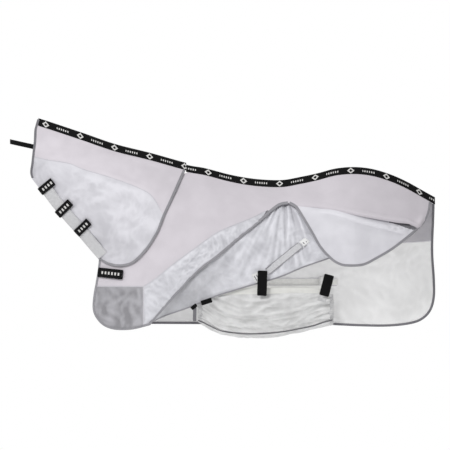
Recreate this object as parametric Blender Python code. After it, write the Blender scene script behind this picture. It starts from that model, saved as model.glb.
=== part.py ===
"""Horse fly sheet with a neck cover and a belly flap, held in the shape it has on the horse.

Units are metres, +Z is up and the horse faces -X. The origin is on the horse's back at the
withers. The near side is at -Y. Its hem is lifted, so that the belly flap can be seen.
"""

import math

import bmesh
import bpy
from mathutils import Matrix, Vector

NEAR = -1
FAR = 1

# Cloth and webbing
CLOTH = 0.002
WEBBING = 0.0025
LOOP_PILE = 0.0015
LABEL = 0.001
BINDING = 0.005
SEAM_GAP = 0.0002
EDGE_GAP = 0.003
EDGE_WIDTH = 0.018
HEM_WIDTH = 0.022
TAPE_DROP = 0.040

# The horse: half its width, and how far below the topline and behind the chest it is reached
SPLIT = 0.004
WIDTHS = [(-1.10, 0.085), (-0.90, 0.100), (-0.60, 0.150), (-0.30, 0.225), (0.10, 0.250),
          (0.85, 0.250), (1.15, 0.215), (1.35, 0.175)]
SHOULDER_DROPS = [(-1.10, 0.15), (-0.80, 0.20), (-0.30, 0.32), (0.00, 0.38), (1.40, 0.38)]
CHEST_DEPTHS = [(-0.95, 0.34), (-0.50, 0.34), (-0.25, 0.24), (0.10, 0.20), (0.30, 0.20)]
HEM_TUCK = 0.030

# How far each layer stands off the horse
NECK_LIFT = 0.010
FACING_LIFT = 0.0155
TAB_LIFT = 0.0200
WING_LIFTS = (-0.012, -0.048)
WING_REAR = (0.40, 0.52)
WING_REAR_TUCK = 0.022
STRIP_LIFT = 0.006

# Lines of the pattern, as x and z on the side of the horse
TOPLINE = [(-1.10, 0.345), (-0.898, 0.286), (-0.665, 0.209), (-0.473, 0.143), (-0.275, 0.093),
           (-0.077, 0.038), (0.027, 0.019), (0.165, -0.017), (0.300, -0.040), (0.445, -0.047),
           (0.550, -0.030), (0.649, -0.009), (0.748, 0.017), (0.851, 0.025), (0.951, 0.014),
           (1.053, -0.017), (1.144, -0.058), (1.237, -0.110), (1.40, -0.200)]
CHEST_FRONT = [(-1.175, 0.290), (-1.012, 0.080), (-0.889, -0.080), (-0.795, -0.203),
               (-0.663, -0.350), (-0.575, -0.455), (-0.562, -0.520), (-0.590, -0.704),
               (-0.592, -1.000)]
NECKLINE = [(-0.528, -0.465), (-0.470, -0.360), (-0.370, -0.240), (-0.260, -0.120),
            (-0.160, -0.040), (-0.077, -0.006)]
CHEST_EDGE = [(-0.556, -0.482), (-0.566, -0.560), (-0.588, -0.690), (-0.590, -0.759),
              (-0.568, -0.810), (-0.524, -0.850), (-0.462, -0.868), (-0.374, -0.866),
              (-0.290, -0.846)]
CHEST_SEAM_Z = -0.629
CHEST_PANEL_END = -0.310
NEAR_SEAM = [(CHEST_PANEL_END, CHEST_SEAM_Z), (-0.253, -0.592), (-0.137, -0.499),
             (-0.022, -0.415), (0.086, -0.338), (0.170, -0.299), (0.286, -0.253), (0.363, -0.214)]
NEAR_HEM_FRONT = [(-0.269, -0.834), (-0.231, -0.790), (-0.022, -0.561), (0.099, -0.467),
                  (0.209, -0.374), (0.330, -0.275), (0.407, -0.207), (0.445, -0.183),
                  (0.484, -0.176)]
NEAR_HEM_REAR = [(0.490, -0.176), (0.525, -0.197), (0.561, -0.253), (0.610, -0.335),
                 (0.654, -0.412), (0.702, -0.467), (0.748, -0.503), (0.800, -0.519),
                 (0.895, -0.515), (0.973, -0.478), (1.056, -0.429), (1.137, -0.368),
                 (1.199, -0.317)]
NEAR_TAIL_EDGE = [(1.204, -0.312), (1.241, -0.269), (1.262, -0.215), (1.270, -0.180)]
APEX = [(0.395, -0.184), (0.437, -0.155), (0.484, -0.146), (0.530, -0.160)]
FOLD = [(0.564, -0.192), (0.640, -0.197), (0.750, -0.216), (0.870, -0.243), (0.980, -0.264),
        (1.070, -0.280), (1.150, -0.290)]
TAIL_INNER = [(1.190, -0.270), (1.214, -0.242), (1.230, -0.210), (1.238, -0.185)]
FAR_SEAM = [(CHEST_PANEL_END, CHEST_SEAM_Z), (0.000, -0.560), (0.400, -0.470), (0.800, -0.410),
            (1.262, -0.380)]
FAR_HEM = [(-0.269, -0.838), (0.200, -0.840), (0.600, -0.840), (0.895, -0.852), (1.056, -0.852),
           (1.177, -0.836), (1.241, -0.806), (1.281, -0.755), (1.298, -0.682), (1.297, -0.580),
           (1.290, -0.480), (1.288, -0.400), (1.292, -0.260), (1.293, -0.186)]
CHEST_FLOOR = [(-0.560, -0.770), (-0.545, -0.805), (-0.510, -0.832), (-0.455, -0.846),
               (-0.380, -0.845), (-0.300, -0.828)]
FAR_FLOOR = [(-0.300, -0.812), (0.600, -0.814), (0.895, -0.826), (1.056, -0.826),
             (1.160, -0.811), (1.214, -0.785), (1.246, -0.745), (1.262, -0.690)]
WING_ENDS = (-0.165, 0.670)
WING_EDGE = [(-0.190, -0.796), (-0.055, -0.748), (0.071, -0.693), (0.209, -0.649),
             (0.302, -0.621), (0.440, -0.580), (0.561, -0.528), (0.680, -0.486)]

NECK_FRONT = [(-0.901, 0.275), (-0.908, 0.250), (-0.914, 0.220), (-0.914, 0.151), (-0.922, 0.060),
              (-0.929, 0.005), (-0.922, -0.028)]
THROAT = [(-0.912, -0.045), (-0.885, -0.080), (-0.791, -0.203), (-0.660, -0.350),
          (-0.553, -0.476)]
NECK_SEAM = [(-0.895, 0.088), (-0.825, 0.066), (-0.717, 0.044), (-0.638, 0.011),
             (-0.497, -0.033), (-0.348, -0.088), (-0.270, -0.135), (-0.224, -0.235)]
NECK_LOBE = [(-0.553, -0.476), (-0.506, -0.506), (-0.445, -0.520), (-0.385, -0.512),
             (-0.341, -0.484), (-0.286, -0.423), (-0.232, -0.335), (-0.195, -0.245)]
NECK_REAR = [(-0.193, -0.240), (-0.143, -0.132), (-0.103, -0.044), (-0.087, -0.008)]

# Fastenings: where each is sewn, as x and z, and its size
THROAT_TABS = [(-0.875, -0.105), (-0.780, -0.232), (-0.676, -0.335)]
THROAT_TAB_SIZE = (0.092, 0.044)
CHEST_TAB_START = (-0.556, -0.552)
CHEST_TAB_SIZE = (0.138, 0.053)
CHEST_TAB_LIFT = 0.0095
NECK_PIVOT = (-0.080, 0.0, 0.066)
SKIRT_PIVOT = (0.870, -0.238, -0.243)
KEEPER = ((0.668, -0.2035, -0.712), (0.673, -0.2035, -0.692))
KEEPER_WIDTH = 0.048
POLL_STRAP_Z = 0.137
POLL_STRAP_X = -0.906
POLL_STRAP_TIP = -1.048
POLL_STRAP_RISE = 0.22
POLL_STRAP_WIDTH = 0.026
NEAR_STRIP = ((0.370, -0.549), (0.552, -0.399))
NEAR_STRIP_WIDTH = 0.040
FAR_STRIP = ((-0.071, -0.606), (0.759, -0.606))
FAR_STRIP_WIDTH = 0.042

# Belly flap: a wide sling from the far side's loop strip to the near side
BELLY_FRONT_X = -0.010
BELLY_REAR_X = 0.735
BELLY_FAR_Y = 0.205
BELLY_NEAR_Y = -0.185
BELLY_FAR_Z = -0.626
BELLY_HEM = [(-0.030, -0.815), (0.000, -0.832), (0.033, -0.850), (0.071, -0.872),
             (0.132, -0.898), (0.269, -0.914), (0.440, -0.903), (0.594, -0.872),
             (0.735, -0.840), (0.780, -0.830)]
BELLY_FAR_TABS = (0.030, 0.320, 0.690)
BELLY_TOP = [(-0.030, -0.715), (0.020, -0.690), (0.110, -0.655), (0.250, -0.640),
             (0.620, -0.640), (0.700, -0.668), (0.780, -0.700)]


def material(name, colour, roughness):
    """A Principled material of one colour."""
    made = bpy.data.materials.new(name)
    made.use_nodes = True
    shader = made.node_tree.nodes["Principled BSDF"]
    shader.inputs["Base Color"].default_value = (*colour, 1.0)
    shader.inputs["Roughness"].default_value = roughness
    shader.inputs["Metallic"].default_value = 0.0
    return made


def between(table, at):
    """Read a table of (position, value) at one place, with straight runs between its rows."""
    if at <= table[0][0]:
        return table[0][1]
    for (p0, v0), (p1, v1) in zip(table, table[1:]):
        if at <= p1:
            return v0 + (v1 - v0) * (at - p0) / (p1 - p0)
    return table[-1][1]


def smooth(points, at):
    """A point on the smooth curve through points; at runs from 0 to the last point's number."""
    k = min(int(at), len(points) - 2)
    t = at - k
    p1 = Vector(points[k])
    p2 = Vector(points[k + 1])
    p0 = Vector(points[k - 1]) if k > 0 else 2 * p1 - p2
    p3 = Vector(points[k + 2]) if k + 2 < len(points) else 2 * p2 - p1
    return 0.5 * (2 * p1 + (p2 - p0) * t + (2 * p0 - 5 * p1 + 4 * p2 - p3) * t * t
                  + (3 * p1 - p0 - 3 * p2 + p3) * t ** 3)


def rail(points, count):
    """Count points, equally spaced along the smooth curve through points."""
    steps = 12 * (len(points) - 1)
    fine = [smooth(points, i / 12) for i in range(steps + 1)]
    run = [0.0]
    for a, b in zip(fine, fine[1:]):
        run.append(run[-1] + (b - a).length)
    found = []
    k = 0
    for i in range(count):
        want = run[-1] * i / (count - 1)
        while k < steps - 1 and run[k + 1] < want:
            k += 1
        found.append(fine[k].lerp(fine[k + 1], (want - run[k]) / (run[k + 1] - run[k])))
    return found


def offset(line, distance):
    """The line moved sideways in its plane, to its left for a positive distance."""
    moved = []
    for i, p in enumerate(line):
        along = line[min(i + 1, len(line) - 1)] - line[max(i - 1, 0)]
        moved.append(p + Vector((-along.y, along.x)).normalized() * distance)
    return moved


def straight(a, b, count):
    return [Vector(a).lerp(Vector(b), i / (count - 1)) for i in range(count)]


TOP_ROWS = [(p.x, p.y) for p in rail(TOPLINE, 160)]
FRONT_ROWS = [(-p.y, p.x) for p in rail(CHEST_FRONT, 120)]


def rounding(t):
    """0 at the edge of the horse, rising to 1 where its side is reached."""
    t = min(max(t, 0.0), 1.0)
    return t * (2.0 - t)


def half_width(x, z):
    """Half the horse's width at a place on its side."""
    below = between(TOP_ROWS, x) - z
    behind = x - between(FRONT_ROWS, -z)
    side = between(WIDTHS, x) * rounding(below / between(SHOULDER_DROPS, x))
    side *= rounding(behind / between(CHEST_DEPTHS, z))
    tuck = HEM_TUCK * min(max((-z - 0.45) / 0.40, 0.0), 1.0) ** 2
    return max(side - tuck * rounding(behind / 0.3), 0.0) + SPLIT


def normal(x, z, side):
    """The direction that faces out of the horse's side."""
    e = 0.002
    slope_x = (half_width(x + e, z) - half_width(x - e, z)) / (2 * e)
    slope_z = (half_width(x, z + e) - half_width(x, z - e)) / (2 * e)
    return Vector((-slope_x, side, -slope_z)).normalized()


def site(p, side, lift=0.0):
    """A place on the side of the horse, lifted off it, and the direction out of it."""
    out = normal(p[0], p[1], side)
    return Vector((p[0], side * half_width(p[0], p[1]), p[1])) + out * lift, out


def ruled(low, high, rows, side, lift=None):
    """Sites on a grid of lines drawn from one rail to the other."""
    grid = []
    for r in range(rows + 1):
        v = r / rows
        lift_here = lift(v) if lift else 0.0
        grid.append([site(a.lerp(b, v), side, lift_here) for a, b in zip(low, high)])
    return grid


def facing_out(grid):
    """Add to a grid of bare points the normals worked out from their neighbours."""
    done = []
    last_row = len(grid) - 1
    last_col = len(grid[0]) - 1
    for r, row in enumerate(grid):
        out_row = []
        for c, p in enumerate(row):
            across = grid[min(r + 1, last_row)][c] - grid[max(r - 1, 0)][c]
            along = row[min(c + 1, last_col)] - row[max(c - 1, 0)]
            out_row.append((p, along.cross(across).normalized()))
        done.append(out_row)
    return done


def shell(name, grid, inner, outer, finish, gap=SEAM_GAP):
    """A closed sheet over a grid of sites, from inner to outer off the grid."""
    rows = len(grid)
    cols = len(grid[0])
    bm = bmesh.new()
    layers = []
    for lift in (inner, outer):
        layer = []
        for r in range(rows):
            for c in range(cols):
                p, out = grid[r][c]
                q = p.copy()
                if r in (0, rows - 1):
                    q += (grid[1 if r == 0 else rows - 2][c][0] - p).normalized() * gap
                if c in (0, cols - 1):
                    q += (grid[r][1 if c == 0 else cols - 2][0] - p).normalized() * gap
                layer.append(bm.verts.new(q + out * lift))
        layers.append(layer)
    for layer in layers:
        for r in range(rows - 1):
            for c in range(cols - 1):
                k = r * cols + c
                bm.faces.new((layer[k], layer[k + 1], layer[k + cols + 1], layer[k + cols]))
    ring = list(range(cols))
    ring += [r * cols + cols - 1 for r in range(1, rows)]
    ring += [(rows - 1) * cols + c for c in range(cols - 2, -1, -1)]
    ring += [r * cols for r in range(rows - 2, 0, -1)]
    for a, b in zip(ring, ring[1:] + ring[:1]):
        bm.faces.new((layers[0][a], layers[0][b], layers[1][b], layers[1][a]))
    bmesh.ops.recalc_face_normals(bm, faces=bm.faces)
    return finished(name, bm, finish)


def finished(name, bm, finish):
    """Turn a bmesh into a named object with its material."""
    mesh = bpy.data.meshes.new(name)
    bm.to_mesh(mesh)
    bm.free()
    made = bpy.data.objects.new(name, mesh)
    bpy.context.scene.collection.objects.link(made)
    mesh.materials.append(finish)
    mesh.shade_smooth()
    mesh.set_sharp_from_angle(angle=math.radians(40))
    return made


def edge_strip(name, outline, width, side, lift, finish, count):
    """A binding along the right-hand side of an outline."""
    outer = rail(outline, count)
    grid = ruled(outer, offset(outer, width), 1, side)
    return shell(name, grid, lift - 0.0015, lift + BINDING - 0.0015, finish)


def strip_frame(start, end):
    """The directions along and across a straight strip on the side view."""
    along = (Vector(end) - Vector(start)).normalized()
    return along, Vector((-along.y, along.x))


def plate(name, start, end, width, side, lift, thickness, finish, steps=4, rows=1):
    """A straight strip laid on the side of the horse, with its middle line from start to end."""
    _, across = strip_frame(start, end)
    middle = straight(start, end, steps + 1)
    low = [p - across * width / 2 for p in middle]
    high = [p + across * width / 2 for p in middle]
    return shell(name, ruled(low, high, rows, side), lift, lift + thickness, finish)


# Rails that neighbouring panels share

def tape_edge(first_x, last_x, count):
    """The lower edge of the tape over the spine."""
    stations = [first_x + (last_x - first_x) * i / (count - 1) for i in range(count)]
    return [Vector((x, between(TOP_ROWS, x) - TAPE_DROP)) for x in stations]


CHEST_COLS = 7
FRONT_COLS = 12
FOLD_COLS = 10
TAIL_COLS = 4
HEM_INSET = HEM_WIDTH + EDGE_GAP


def chest_seam():
    return straight((-0.551, CHEST_SEAM_Z), (CHEST_PANEL_END, CHEST_SEAM_Z), CHEST_COLS)


def body_top(count, last_x):
    """From the chest up the neck hole and along the spine to the tail."""
    neck = rail(NECKLINE, CHEST_COLS + 4)
    spine = tape_edge(-0.055, last_x, count - len(neck))
    return neck + spine


def body_side(side, finish, mesh_finish):
    """The cloth of one side of the body, from the chest to the tail."""
    word = "near" if side == NEAR else "far"
    seam = chest_seam()
    panel_floor = [Vector((p.x, between(CHEST_FLOOR, p.x))) for p in seam]
    shell(word + "_chest_panel", ruled(panel_floor, seam, 3, side), 0.0, CLOTH, SATIN)
    if side == FAR:
        rest = rail(FAR_SEAM, 26)
        low = seam + rest[1:]
        shell("far_upper_panel", ruled(low, body_top(len(low), 1.264), 7, side), 0.0, CLOTH, finish)
        floor = [Vector((p.x, between(FAR_FLOOR, p.x))) for p in rest]
        shell("far_mesh_panel", ruled(floor, rest, 5, side), 0.0, CLOTH, mesh_finish)
        return
    hem = offset(rail(NEAR_HEM_FRONT, 40), HEM_INSET)
    front_seam = rail(NEAR_SEAM, FRONT_COLS)
    front_floor = rail([tuple(p) for p in hem[3:33:3]], FRONT_COLS)
    front_floor[0] = Vector((CHEST_PANEL_END + 0.004, -0.790))
    shell("near_mesh_panel", ruled(front_floor, front_seam, 2, side), 0.0, CLOTH, mesh_finish)
    apex = [Vector(p) for p in APEX]
    fold = rail(FOLD, FOLD_COLS)
    tail = rail(TAIL_INNER, TAIL_COLS)
    low = seam + front_seam[1:] + apex + fold + tail
    shell("near_upper_panel", ruled(low, body_top(len(low), 1.222), 7, side), 0.0, CLOTH, finish)


def near_skirt(mesh_finish, binding_finish):
    """The lower rear corner of the near side, which hangs from the fold."""
    high = offset(rail(FOLD, 16), -EDGE_GAP)
    floor = offset(rail(NEAR_HEM_REAR, 40), HEM_INSET)
    low = rail([tuple(p) for p in floor[5:38:3]], 16)
    shell("near_skirt_panel", ruled(low, high, 4, NEAR), 0.0, CLOTH, mesh_finish)
    edge_strip("near_skirt_binding", NEAR_HEM_REAR, HEM_WIDTH, NEAR, 0.0, binding_finish, 30)


def spine_tape(name, first_x, last_x, count, lift, finish):
    """The tape folded over the spine, down to the same drop on both sides."""
    stations = [first_x + (last_x - first_x) * i / (count - 1) for i in range(count)]
    rows = []
    for side, drop in ((NEAR, 1.0), (NEAR, 0.5), (FAR, 0.0), (FAR, 0.5), (FAR, 1.0)):
        row = []
        for x in stations:
            z = between(TOP_ROWS, x) - TAPE_DROP * drop
            p, out = site((x, z), side)
            if drop == 0.0:
                p = Vector((x, 0.0, z + 0.002))
                out = Vector((out.x, 0.0, out.z)).normalized()
            row.append((p, out))
        rows.append(row)
    return shell(name, rows, lift, lift + WEBBING, finish, gap=EDGE_GAP / 2)


def neck_side(side, finish, mesh_finish, binding_finish):
    """One side of the neck cover."""
    word = "near" if side == NEAR else "far"
    seam = rail([(x + 0.003, z) for x, z in NECK_SEAM], 14)
    high = tape_edge(-0.882, -0.114, 14)
    shell("neck_" + word + "_upper_panel", ruled(seam, high, 4, side), NECK_LIFT,
          NECK_LIFT + CLOTH, finish)
    throat = [Vector((p.x + 0.014, p.y + 0.010)) for p in rail(THROAT[1:-1], 7)]
    lobe = [(-0.525, -0.462), (-0.485, -0.482), (-0.440, -0.496), (-0.392, -0.489),
            (-0.358, -0.467), (-0.304, -0.407), (-0.252, -0.322), (-0.222, -0.262)]
    low = [Vector((-0.890, -0.045))] + throat[1:] + rail(lobe, 7)
    shell("neck_" + word + "_mesh_panel", ruled(low, seam, 6, side), NECK_LIFT,
          NECK_LIFT + CLOTH, mesh_finish)
    edge_strip("neck_" + word + "_front_binding", NECK_FRONT, 0.016, side, NECK_LIFT,
               binding_finish, 9)
    edge_strip("neck_" + word + "_rear_binding", NECK_LOBE + NECK_REAR, EDGE_WIDTH, side,
               NECK_LIFT, binding_finish, 30)


THROAT_LINE = Vector((0.103, -0.128)).normalized()
THROAT_INWARD = Vector((-THROAT_LINE.y, THROAT_LINE.x))


def tab_foot_on_throat(start):
    """Where a throat tab is sewn, a little inside the throat's edge."""
    return Vector(start) + THROAT_INWARD * 0.006


def throat_fastenings(facing_finish, webbing_finish):
    """The facing along the throat, and the three tabs that close on it."""
    edge = [Vector((p.x + 0.018, p.y + 0.013)) for p in rail(THROAT[1:], 12)]
    shell("throat_facing", ruled(edge, offset(edge, 0.050), 3, NEAR), FACING_LIFT,
          FACING_LIFT + CLOTH, facing_finish)
    length, width = THROAT_TAB_SIZE
    for i, start in enumerate(THROAT_TABS):
        first = tab_foot_on_throat(start)
        plate("throat_tab_%d" % (i + 1), first, first + THROAT_INWARD * length, width, NEAR,
              TAB_LIFT, WEBBING, webbing_finish, steps=5, rows=2)


def chest_fastening(webbing_finish, facing_finish):
    """The tab that closes the chest, and the loop patch that it closes on."""
    length, width = CHEST_TAB_SIZE
    first = Vector(CHEST_TAB_START)
    lean = Vector((1.0, -0.10)).normalized()
    plate("chest_loop_patch", first + lean * 0.030, first + lean * (length - 0.008),
          width - 0.012, NEAR, 0.0050, LOOP_PILE, facing_finish, steps=5, rows=2)
    plate("chest_tab", first, first + lean * length, width, NEAR, CHEST_TAB_LIFT, WEBBING,
          webbing_finish, steps=6, rows=2)


def poll_strap(webbing_finish):
    """A flat webbing loop across the front of the neck cover."""
    reach = POLL_STRAP_X - POLL_STRAP_TIP
    anchor = half_width(POLL_STRAP_X, POLL_STRAP_Z) + 0.003
    rows = []
    for level in (-0.5, 0.0, 0.5):
        row = []
        for i in range(25):
            turn = math.pi * i / 24
            y = -anchor * math.cos(turn)
            x = POLL_STRAP_X - reach * math.sin(turn) ** 0.55
            z = POLL_STRAP_Z + POLL_STRAP_RISE * (POLL_STRAP_X - x) + level * POLL_STRAP_WIDTH
            row.append(Vector((x, y, z)))
        rows.append(row)
    shell("poll_strap", facing_out(rows), 0.0, WEBBING, webbing_finish)


def hem_z(x):
    """Height of the lifted near hem over the wing."""
    front = [(p.x, p.y) for p in rail(NEAR_HEM_FRONT + NEAR_HEM_REAR[:7], 60)]
    return between(front, x)


def wing_z(x):
    return between([(p.x, p.y) for p in rail(WING_EDGE, 30)], x)


def wing_lift(x, z):
    """The wing leans inwards from the hem to its lower edge, and its rear end lies deeper."""
    down = (hem_z(x) - z) / max(hem_z(x) - wing_z(x), 0.01)
    rear = min(max((x - WING_REAR[0]) / (WING_REAR[1] - WING_REAR[0]), 0.0), 1.0)
    top = WING_LIFTS[0] - WING_REAR_TUCK * rear
    return top + (WING_LIFTS[1] - top) * min(max(down, 0.0), 1.0)


def wing_panel(mesh_finish, binding_finish):
    """The mesh wing that hangs inside the near hem, and its narrow binding."""
    first, last = WING_ENDS
    stations = [first + (last - first) * i / 22 for i in range(23)]
    high = [Vector((x, hem_z(x) + 0.004)) for x in stations]
    low = [Vector((x, wing_z(x) + 0.010)) for x in stations]
    shell("wing_panel", laid_on_wing(low, high, 5), 0.0, CLOTH, mesh_finish)
    edge = [Vector((x, wing_z(x) - 0.002)) for x in stations]
    inner = [Vector((x, wing_z(x) + 0.007)) for x in stations]
    shell("wing_binding", laid_on_wing(edge, inner, 1), -0.001, 0.003, binding_finish)


def laid_on_wing(low, high, rows):
    """Sites on the wing, on lines drawn from one rail to the other."""
    grid = []
    for r in range(rows + 1):
        line = [a.lerp(b, r / rows) for a, b in zip(low, high)]
        grid.append([site(p, NEAR, wing_lift(p.x, p.y)) for p in line])
    return grid


def strip_on_wing(name, start, end, width, thickness, finish, steps):
    """A straight strip on the outside of the wing."""
    _, across = strip_frame(start, end)
    middle = straight(start, end, steps + 1)
    low = [p - across * width / 2 for p in middle]
    high = [p + across * width / 2 for p in middle]
    return shell(name, laid_on_wing(low, high, 1), STRIP_LIFT, STRIP_LIFT + thickness, finish)


def wing_fittings(strip_finish, label_finish):
    """The near loop strip with a sewn label at each end."""
    along, _ = strip_frame(*NEAR_STRIP)
    first, last = (Vector(p) for p in NEAR_STRIP)
    strip_on_wing("near_loop_strip", first, last, NEAR_STRIP_WIDTH, LOOP_PILE, strip_finish, 6)
    strip_on_wing("upper_label", last + along * 0.006, last + along * 0.050, 0.040, LABEL,
                  label_finish, 1)
    strip_on_wing("lower_label", first - along * 0.078, first - along * 0.046, 0.055, LABEL,
                  label_finish, 1)


def belly_section(x):
    """The sling's cross-section at x, from its far edge round to its near edge."""
    floor = between([(p.x, p.y) for p in rail(BELLY_HEM, 40)], x)
    near_top = between([(p.x, p.y) for p in rail(BELLY_TOP, 40)], x)
    points = []
    for i in range(17):
        v = i / 16
        turn = math.pi * v
        y = BELLY_FAR_Y + (BELLY_NEAR_Y - BELLY_FAR_Y) * (v - 0.07 * math.sin(2 * turn))
        top = BELLY_FAR_Z + (near_top - BELLY_FAR_Z) * v
        z = top + (floor - top) * math.sin(turn) ** 0.85
        points.append(Vector((x, y, z)))
    return points


def belly_flap(mesh_finish, binding_finish, elastic_finish):
    """The belly flap, its gathered ends and its two long edges."""
    first = BELLY_FRONT_X + 0.024
    last = BELLY_REAR_X - 0.024
    stations = [first + (last - first) * i / 16 for i in range(17)]
    sections = [belly_section(x) for x in stations]
    panel = [[s[r] for s in sections] for r in range(1, 16)]
    shell("belly_flap_panel", facing_out(panel), -CLOTH, 0.0, mesh_finish)
    near_edge = [[s[r].lerp(s[r + 1], k) for s in sections] for r, k in ((15, 0.06), (15, 1.0))]
    shell("belly_near_binding", facing_out(near_edge), -0.003, 0.001, binding_finish)
    far_edge = [[s[0].lerp(s[1], k) for s in sections] for k in (0.25, 0.94)]
    shell("belly_far_binding", facing_out(far_edge), -0.003, 0.001, binding_finish)
    for name, x0, x1 in (("belly_front_elastic", BELLY_FRONT_X, first - 0.002),
                         ("belly_rear_elastic", last + 0.002, BELLY_REAR_X)):
        ends = [belly_section(x0), belly_section(x1)]
        band = [[s[r] for s in ends] for r in range(1, 16)]
        shell(name, facing_out(band), -0.005, 0.001, elastic_finish)


def upright_tab(name, foot, head, width, finish):
    """A tab from its sewn foot to its free head, both (x, y, z), bowed slightly outwards."""
    foot = Vector(foot)
    head = Vector(head)
    along = (head - foot).normalized()
    across = along.cross(Vector((0.0, 1.0, 0.0))).normalized()
    rows = []
    for k in (-0.5, 0.5):
        row = []
        for i in range(5):
            p = foot.lerp(head, i / 4) + across * width * k
            row.append(p + Vector((0.0, -0.004 * math.sin(math.pi * i / 4), 0.0)))
        rows.append(row)
    return shell(name, facing_out(rows), -WEBBING / 2, WEBBING / 2, finish)


# Foot and head of each tab on the flap's near edge, and its width
BELLY_TABS = {
    "belly_front_tab": ((0.004, -0.206, -0.722), (0.068, -0.220, -0.702), 0.036),
    "belly_middle_tab": ((0.342, -0.208, -0.680), (0.346, -0.232, -0.542), 0.060),
    "belly_rear_tab": ((0.681, -0.206, -0.681), (0.711, -0.214, -0.565), 0.054),
}


def far_tabs(finish):
    """The three tabs that hold the belly flap's far edge on the far loop strip."""
    for i, x in enumerate(BELLY_FAR_TABS):
        foot = (x, BELLY_FAR_Y + 0.004, BELLY_FAR_Z - 0.030)
        head = (x, BELLY_FAR_Y + 0.026, BELLY_FAR_Z + 0.052)
        upright_tab("belly_far_tab_%d" % (i + 1), foot, head, 0.060, finish)


def hang(name, pivot, pieces):
    """Put pieces on an empty that stands on the axis they turn about."""
    hinge = bpy.data.objects.new(name + "_hinge", None)
    hinge.empty_display_size = 0.05
    hinge.location = pivot
    bpy.context.scene.collection.objects.link(hinge)
    back = Matrix.Translation(pivot).inverted()
    for piece in pieces:
        made = bpy.data.objects[piece]
        made.parent = hinge
        made.matrix_parent_inverse = back


for old in list(bpy.data.objects):
    bpy.data.objects.remove(old, do_unlink=True)

UPPER_CLOTH = material("soft_shell_cloth", (0.62, 0.59, 0.62), 0.8)
MESH_CLOTH = material("crinkled_mesh", (0.78, 0.79, 0.80), 0.7)
SATIN = material("satin_lining_cloth", (0.40, 0.40, 0.41), 0.45)
BINDING_CLOTH = material("grey_binding", (0.16, 0.17, 0.18), 0.7)
BLACK_WEBBING = material("black_webbing", (0.015, 0.015, 0.017), 0.8)
LOOP_TAPE = material("loop_tape", (0.45, 0.46, 0.48), 0.95)
FACING_CLOTH = material("facing_cloth", (0.66, 0.67, 0.66), 0.8)
LABEL_CLOTH = material("label_cloth", (0.85, 0.85, 0.85), 0.7)
ELASTIC = material("ruched_elastic", (0.62, 0.62, 0.64), 0.85)

body_side(NEAR, UPPER_CLOTH, MESH_CLOTH)
body_side(FAR, UPPER_CLOTH, MESH_CLOTH)
spine_tape("body_topline_tape", -0.070, 1.292, 44, 0.0, BLACK_WEBBING)
for chest_side, chest_word in ((NEAR, "near"), (FAR, "far")):
    edge_strip(chest_word + "_chest_binding", CHEST_EDGE, EDGE_WIDTH, chest_side, 0.0,
               BINDING_CLOTH, 26)
edge_strip("near_hem_binding", NEAR_HEM_FRONT, HEM_WIDTH, NEAR, 0.0, BINDING_CLOTH, 26)
edge_strip("near_tail_binding", NEAR_TAIL_EDGE, HEM_WIDTH, NEAR, 0.0, BINDING_CLOTH, 8)
edge_strip("far_hem_binding", FAR_HEM, EDGE_WIDTH, FAR, 0.0, BINDING_CLOTH, 50)
near_skirt(MESH_CLOTH, BINDING_CLOTH)
wing_panel(MESH_CLOTH, BINDING_CLOTH)
wing_fittings(LOOP_TAPE, LABEL_CLOTH)
plate("far_loop_strip", FAR_STRIP[0], FAR_STRIP[1], FAR_STRIP_WIDTH, FAR, -0.0065, LOOP_PILE,
      LOOP_TAPE, steps=14)
chest_fastening(BLACK_WEBBING, LOOP_TAPE)

for neck_hand in (NEAR, FAR):
    neck_side(neck_hand, UPPER_CLOTH, MESH_CLOTH, BINDING_CLOTH)
spine_tape("neck_topline_tape", -0.881, -0.083, 24, NECK_LIFT, BLACK_WEBBING)
throat_fastenings(FACING_CLOTH, BLACK_WEBBING)
poll_strap(BLACK_WEBBING)

belly_flap(MESH_CLOTH, BINDING_CLOTH, ELASTIC)
for tab_name, (tab_foot, tab_head, tab_width) in BELLY_TABS.items():
    upright_tab(tab_name, tab_foot, tab_head, tab_width, BLACK_WEBBING)
upright_tab("belly_rear_keeper", KEEPER[0], KEEPER[1], KEEPER_WIDTH, ELASTIC)
far_tabs(BLACK_WEBBING)

NECK_PIECES = [made.name for made in bpy.data.objects if made.name.startswith("neck_")]
hang("neck_cover", NECK_PIVOT, NECK_PIECES + ["throat_facing"])
for number, tab_start in enumerate(THROAT_TABS):
    tab_name = "throat_tab_%d" % (number + 1)
    hang(tab_name, site(tab_foot_on_throat(tab_start), NEAR, TAB_LIFT)[0], [tab_name])
hang("chest_tab", site(CHEST_TAB_START, NEAR, CHEST_TAB_LIFT)[0], ["chest_tab"])
hang("poll_strap", (POLL_STRAP_X, 0.0, POLL_STRAP_Z), ["poll_strap"])
hang("near_skirt", SKIRT_PIVOT, ["near_skirt_panel", "near_skirt_binding"])
hang("belly_flap", (BELLY_FRONT_X, BELLY_FAR_Y, BELLY_FAR_Z),
     ["belly_flap_panel", "belly_near_binding", "belly_far_binding", "belly_front_elastic",
      "belly_rear_elastic", "belly_rear_keeper"])
for tab_name, (tab_foot, tab_head, tab_width) in BELLY_TABS.items():
    hang(tab_name, tab_foot, [tab_name])
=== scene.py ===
import math

import bmesh
import bpy
import numpy as np
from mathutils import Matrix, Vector, noise


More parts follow.
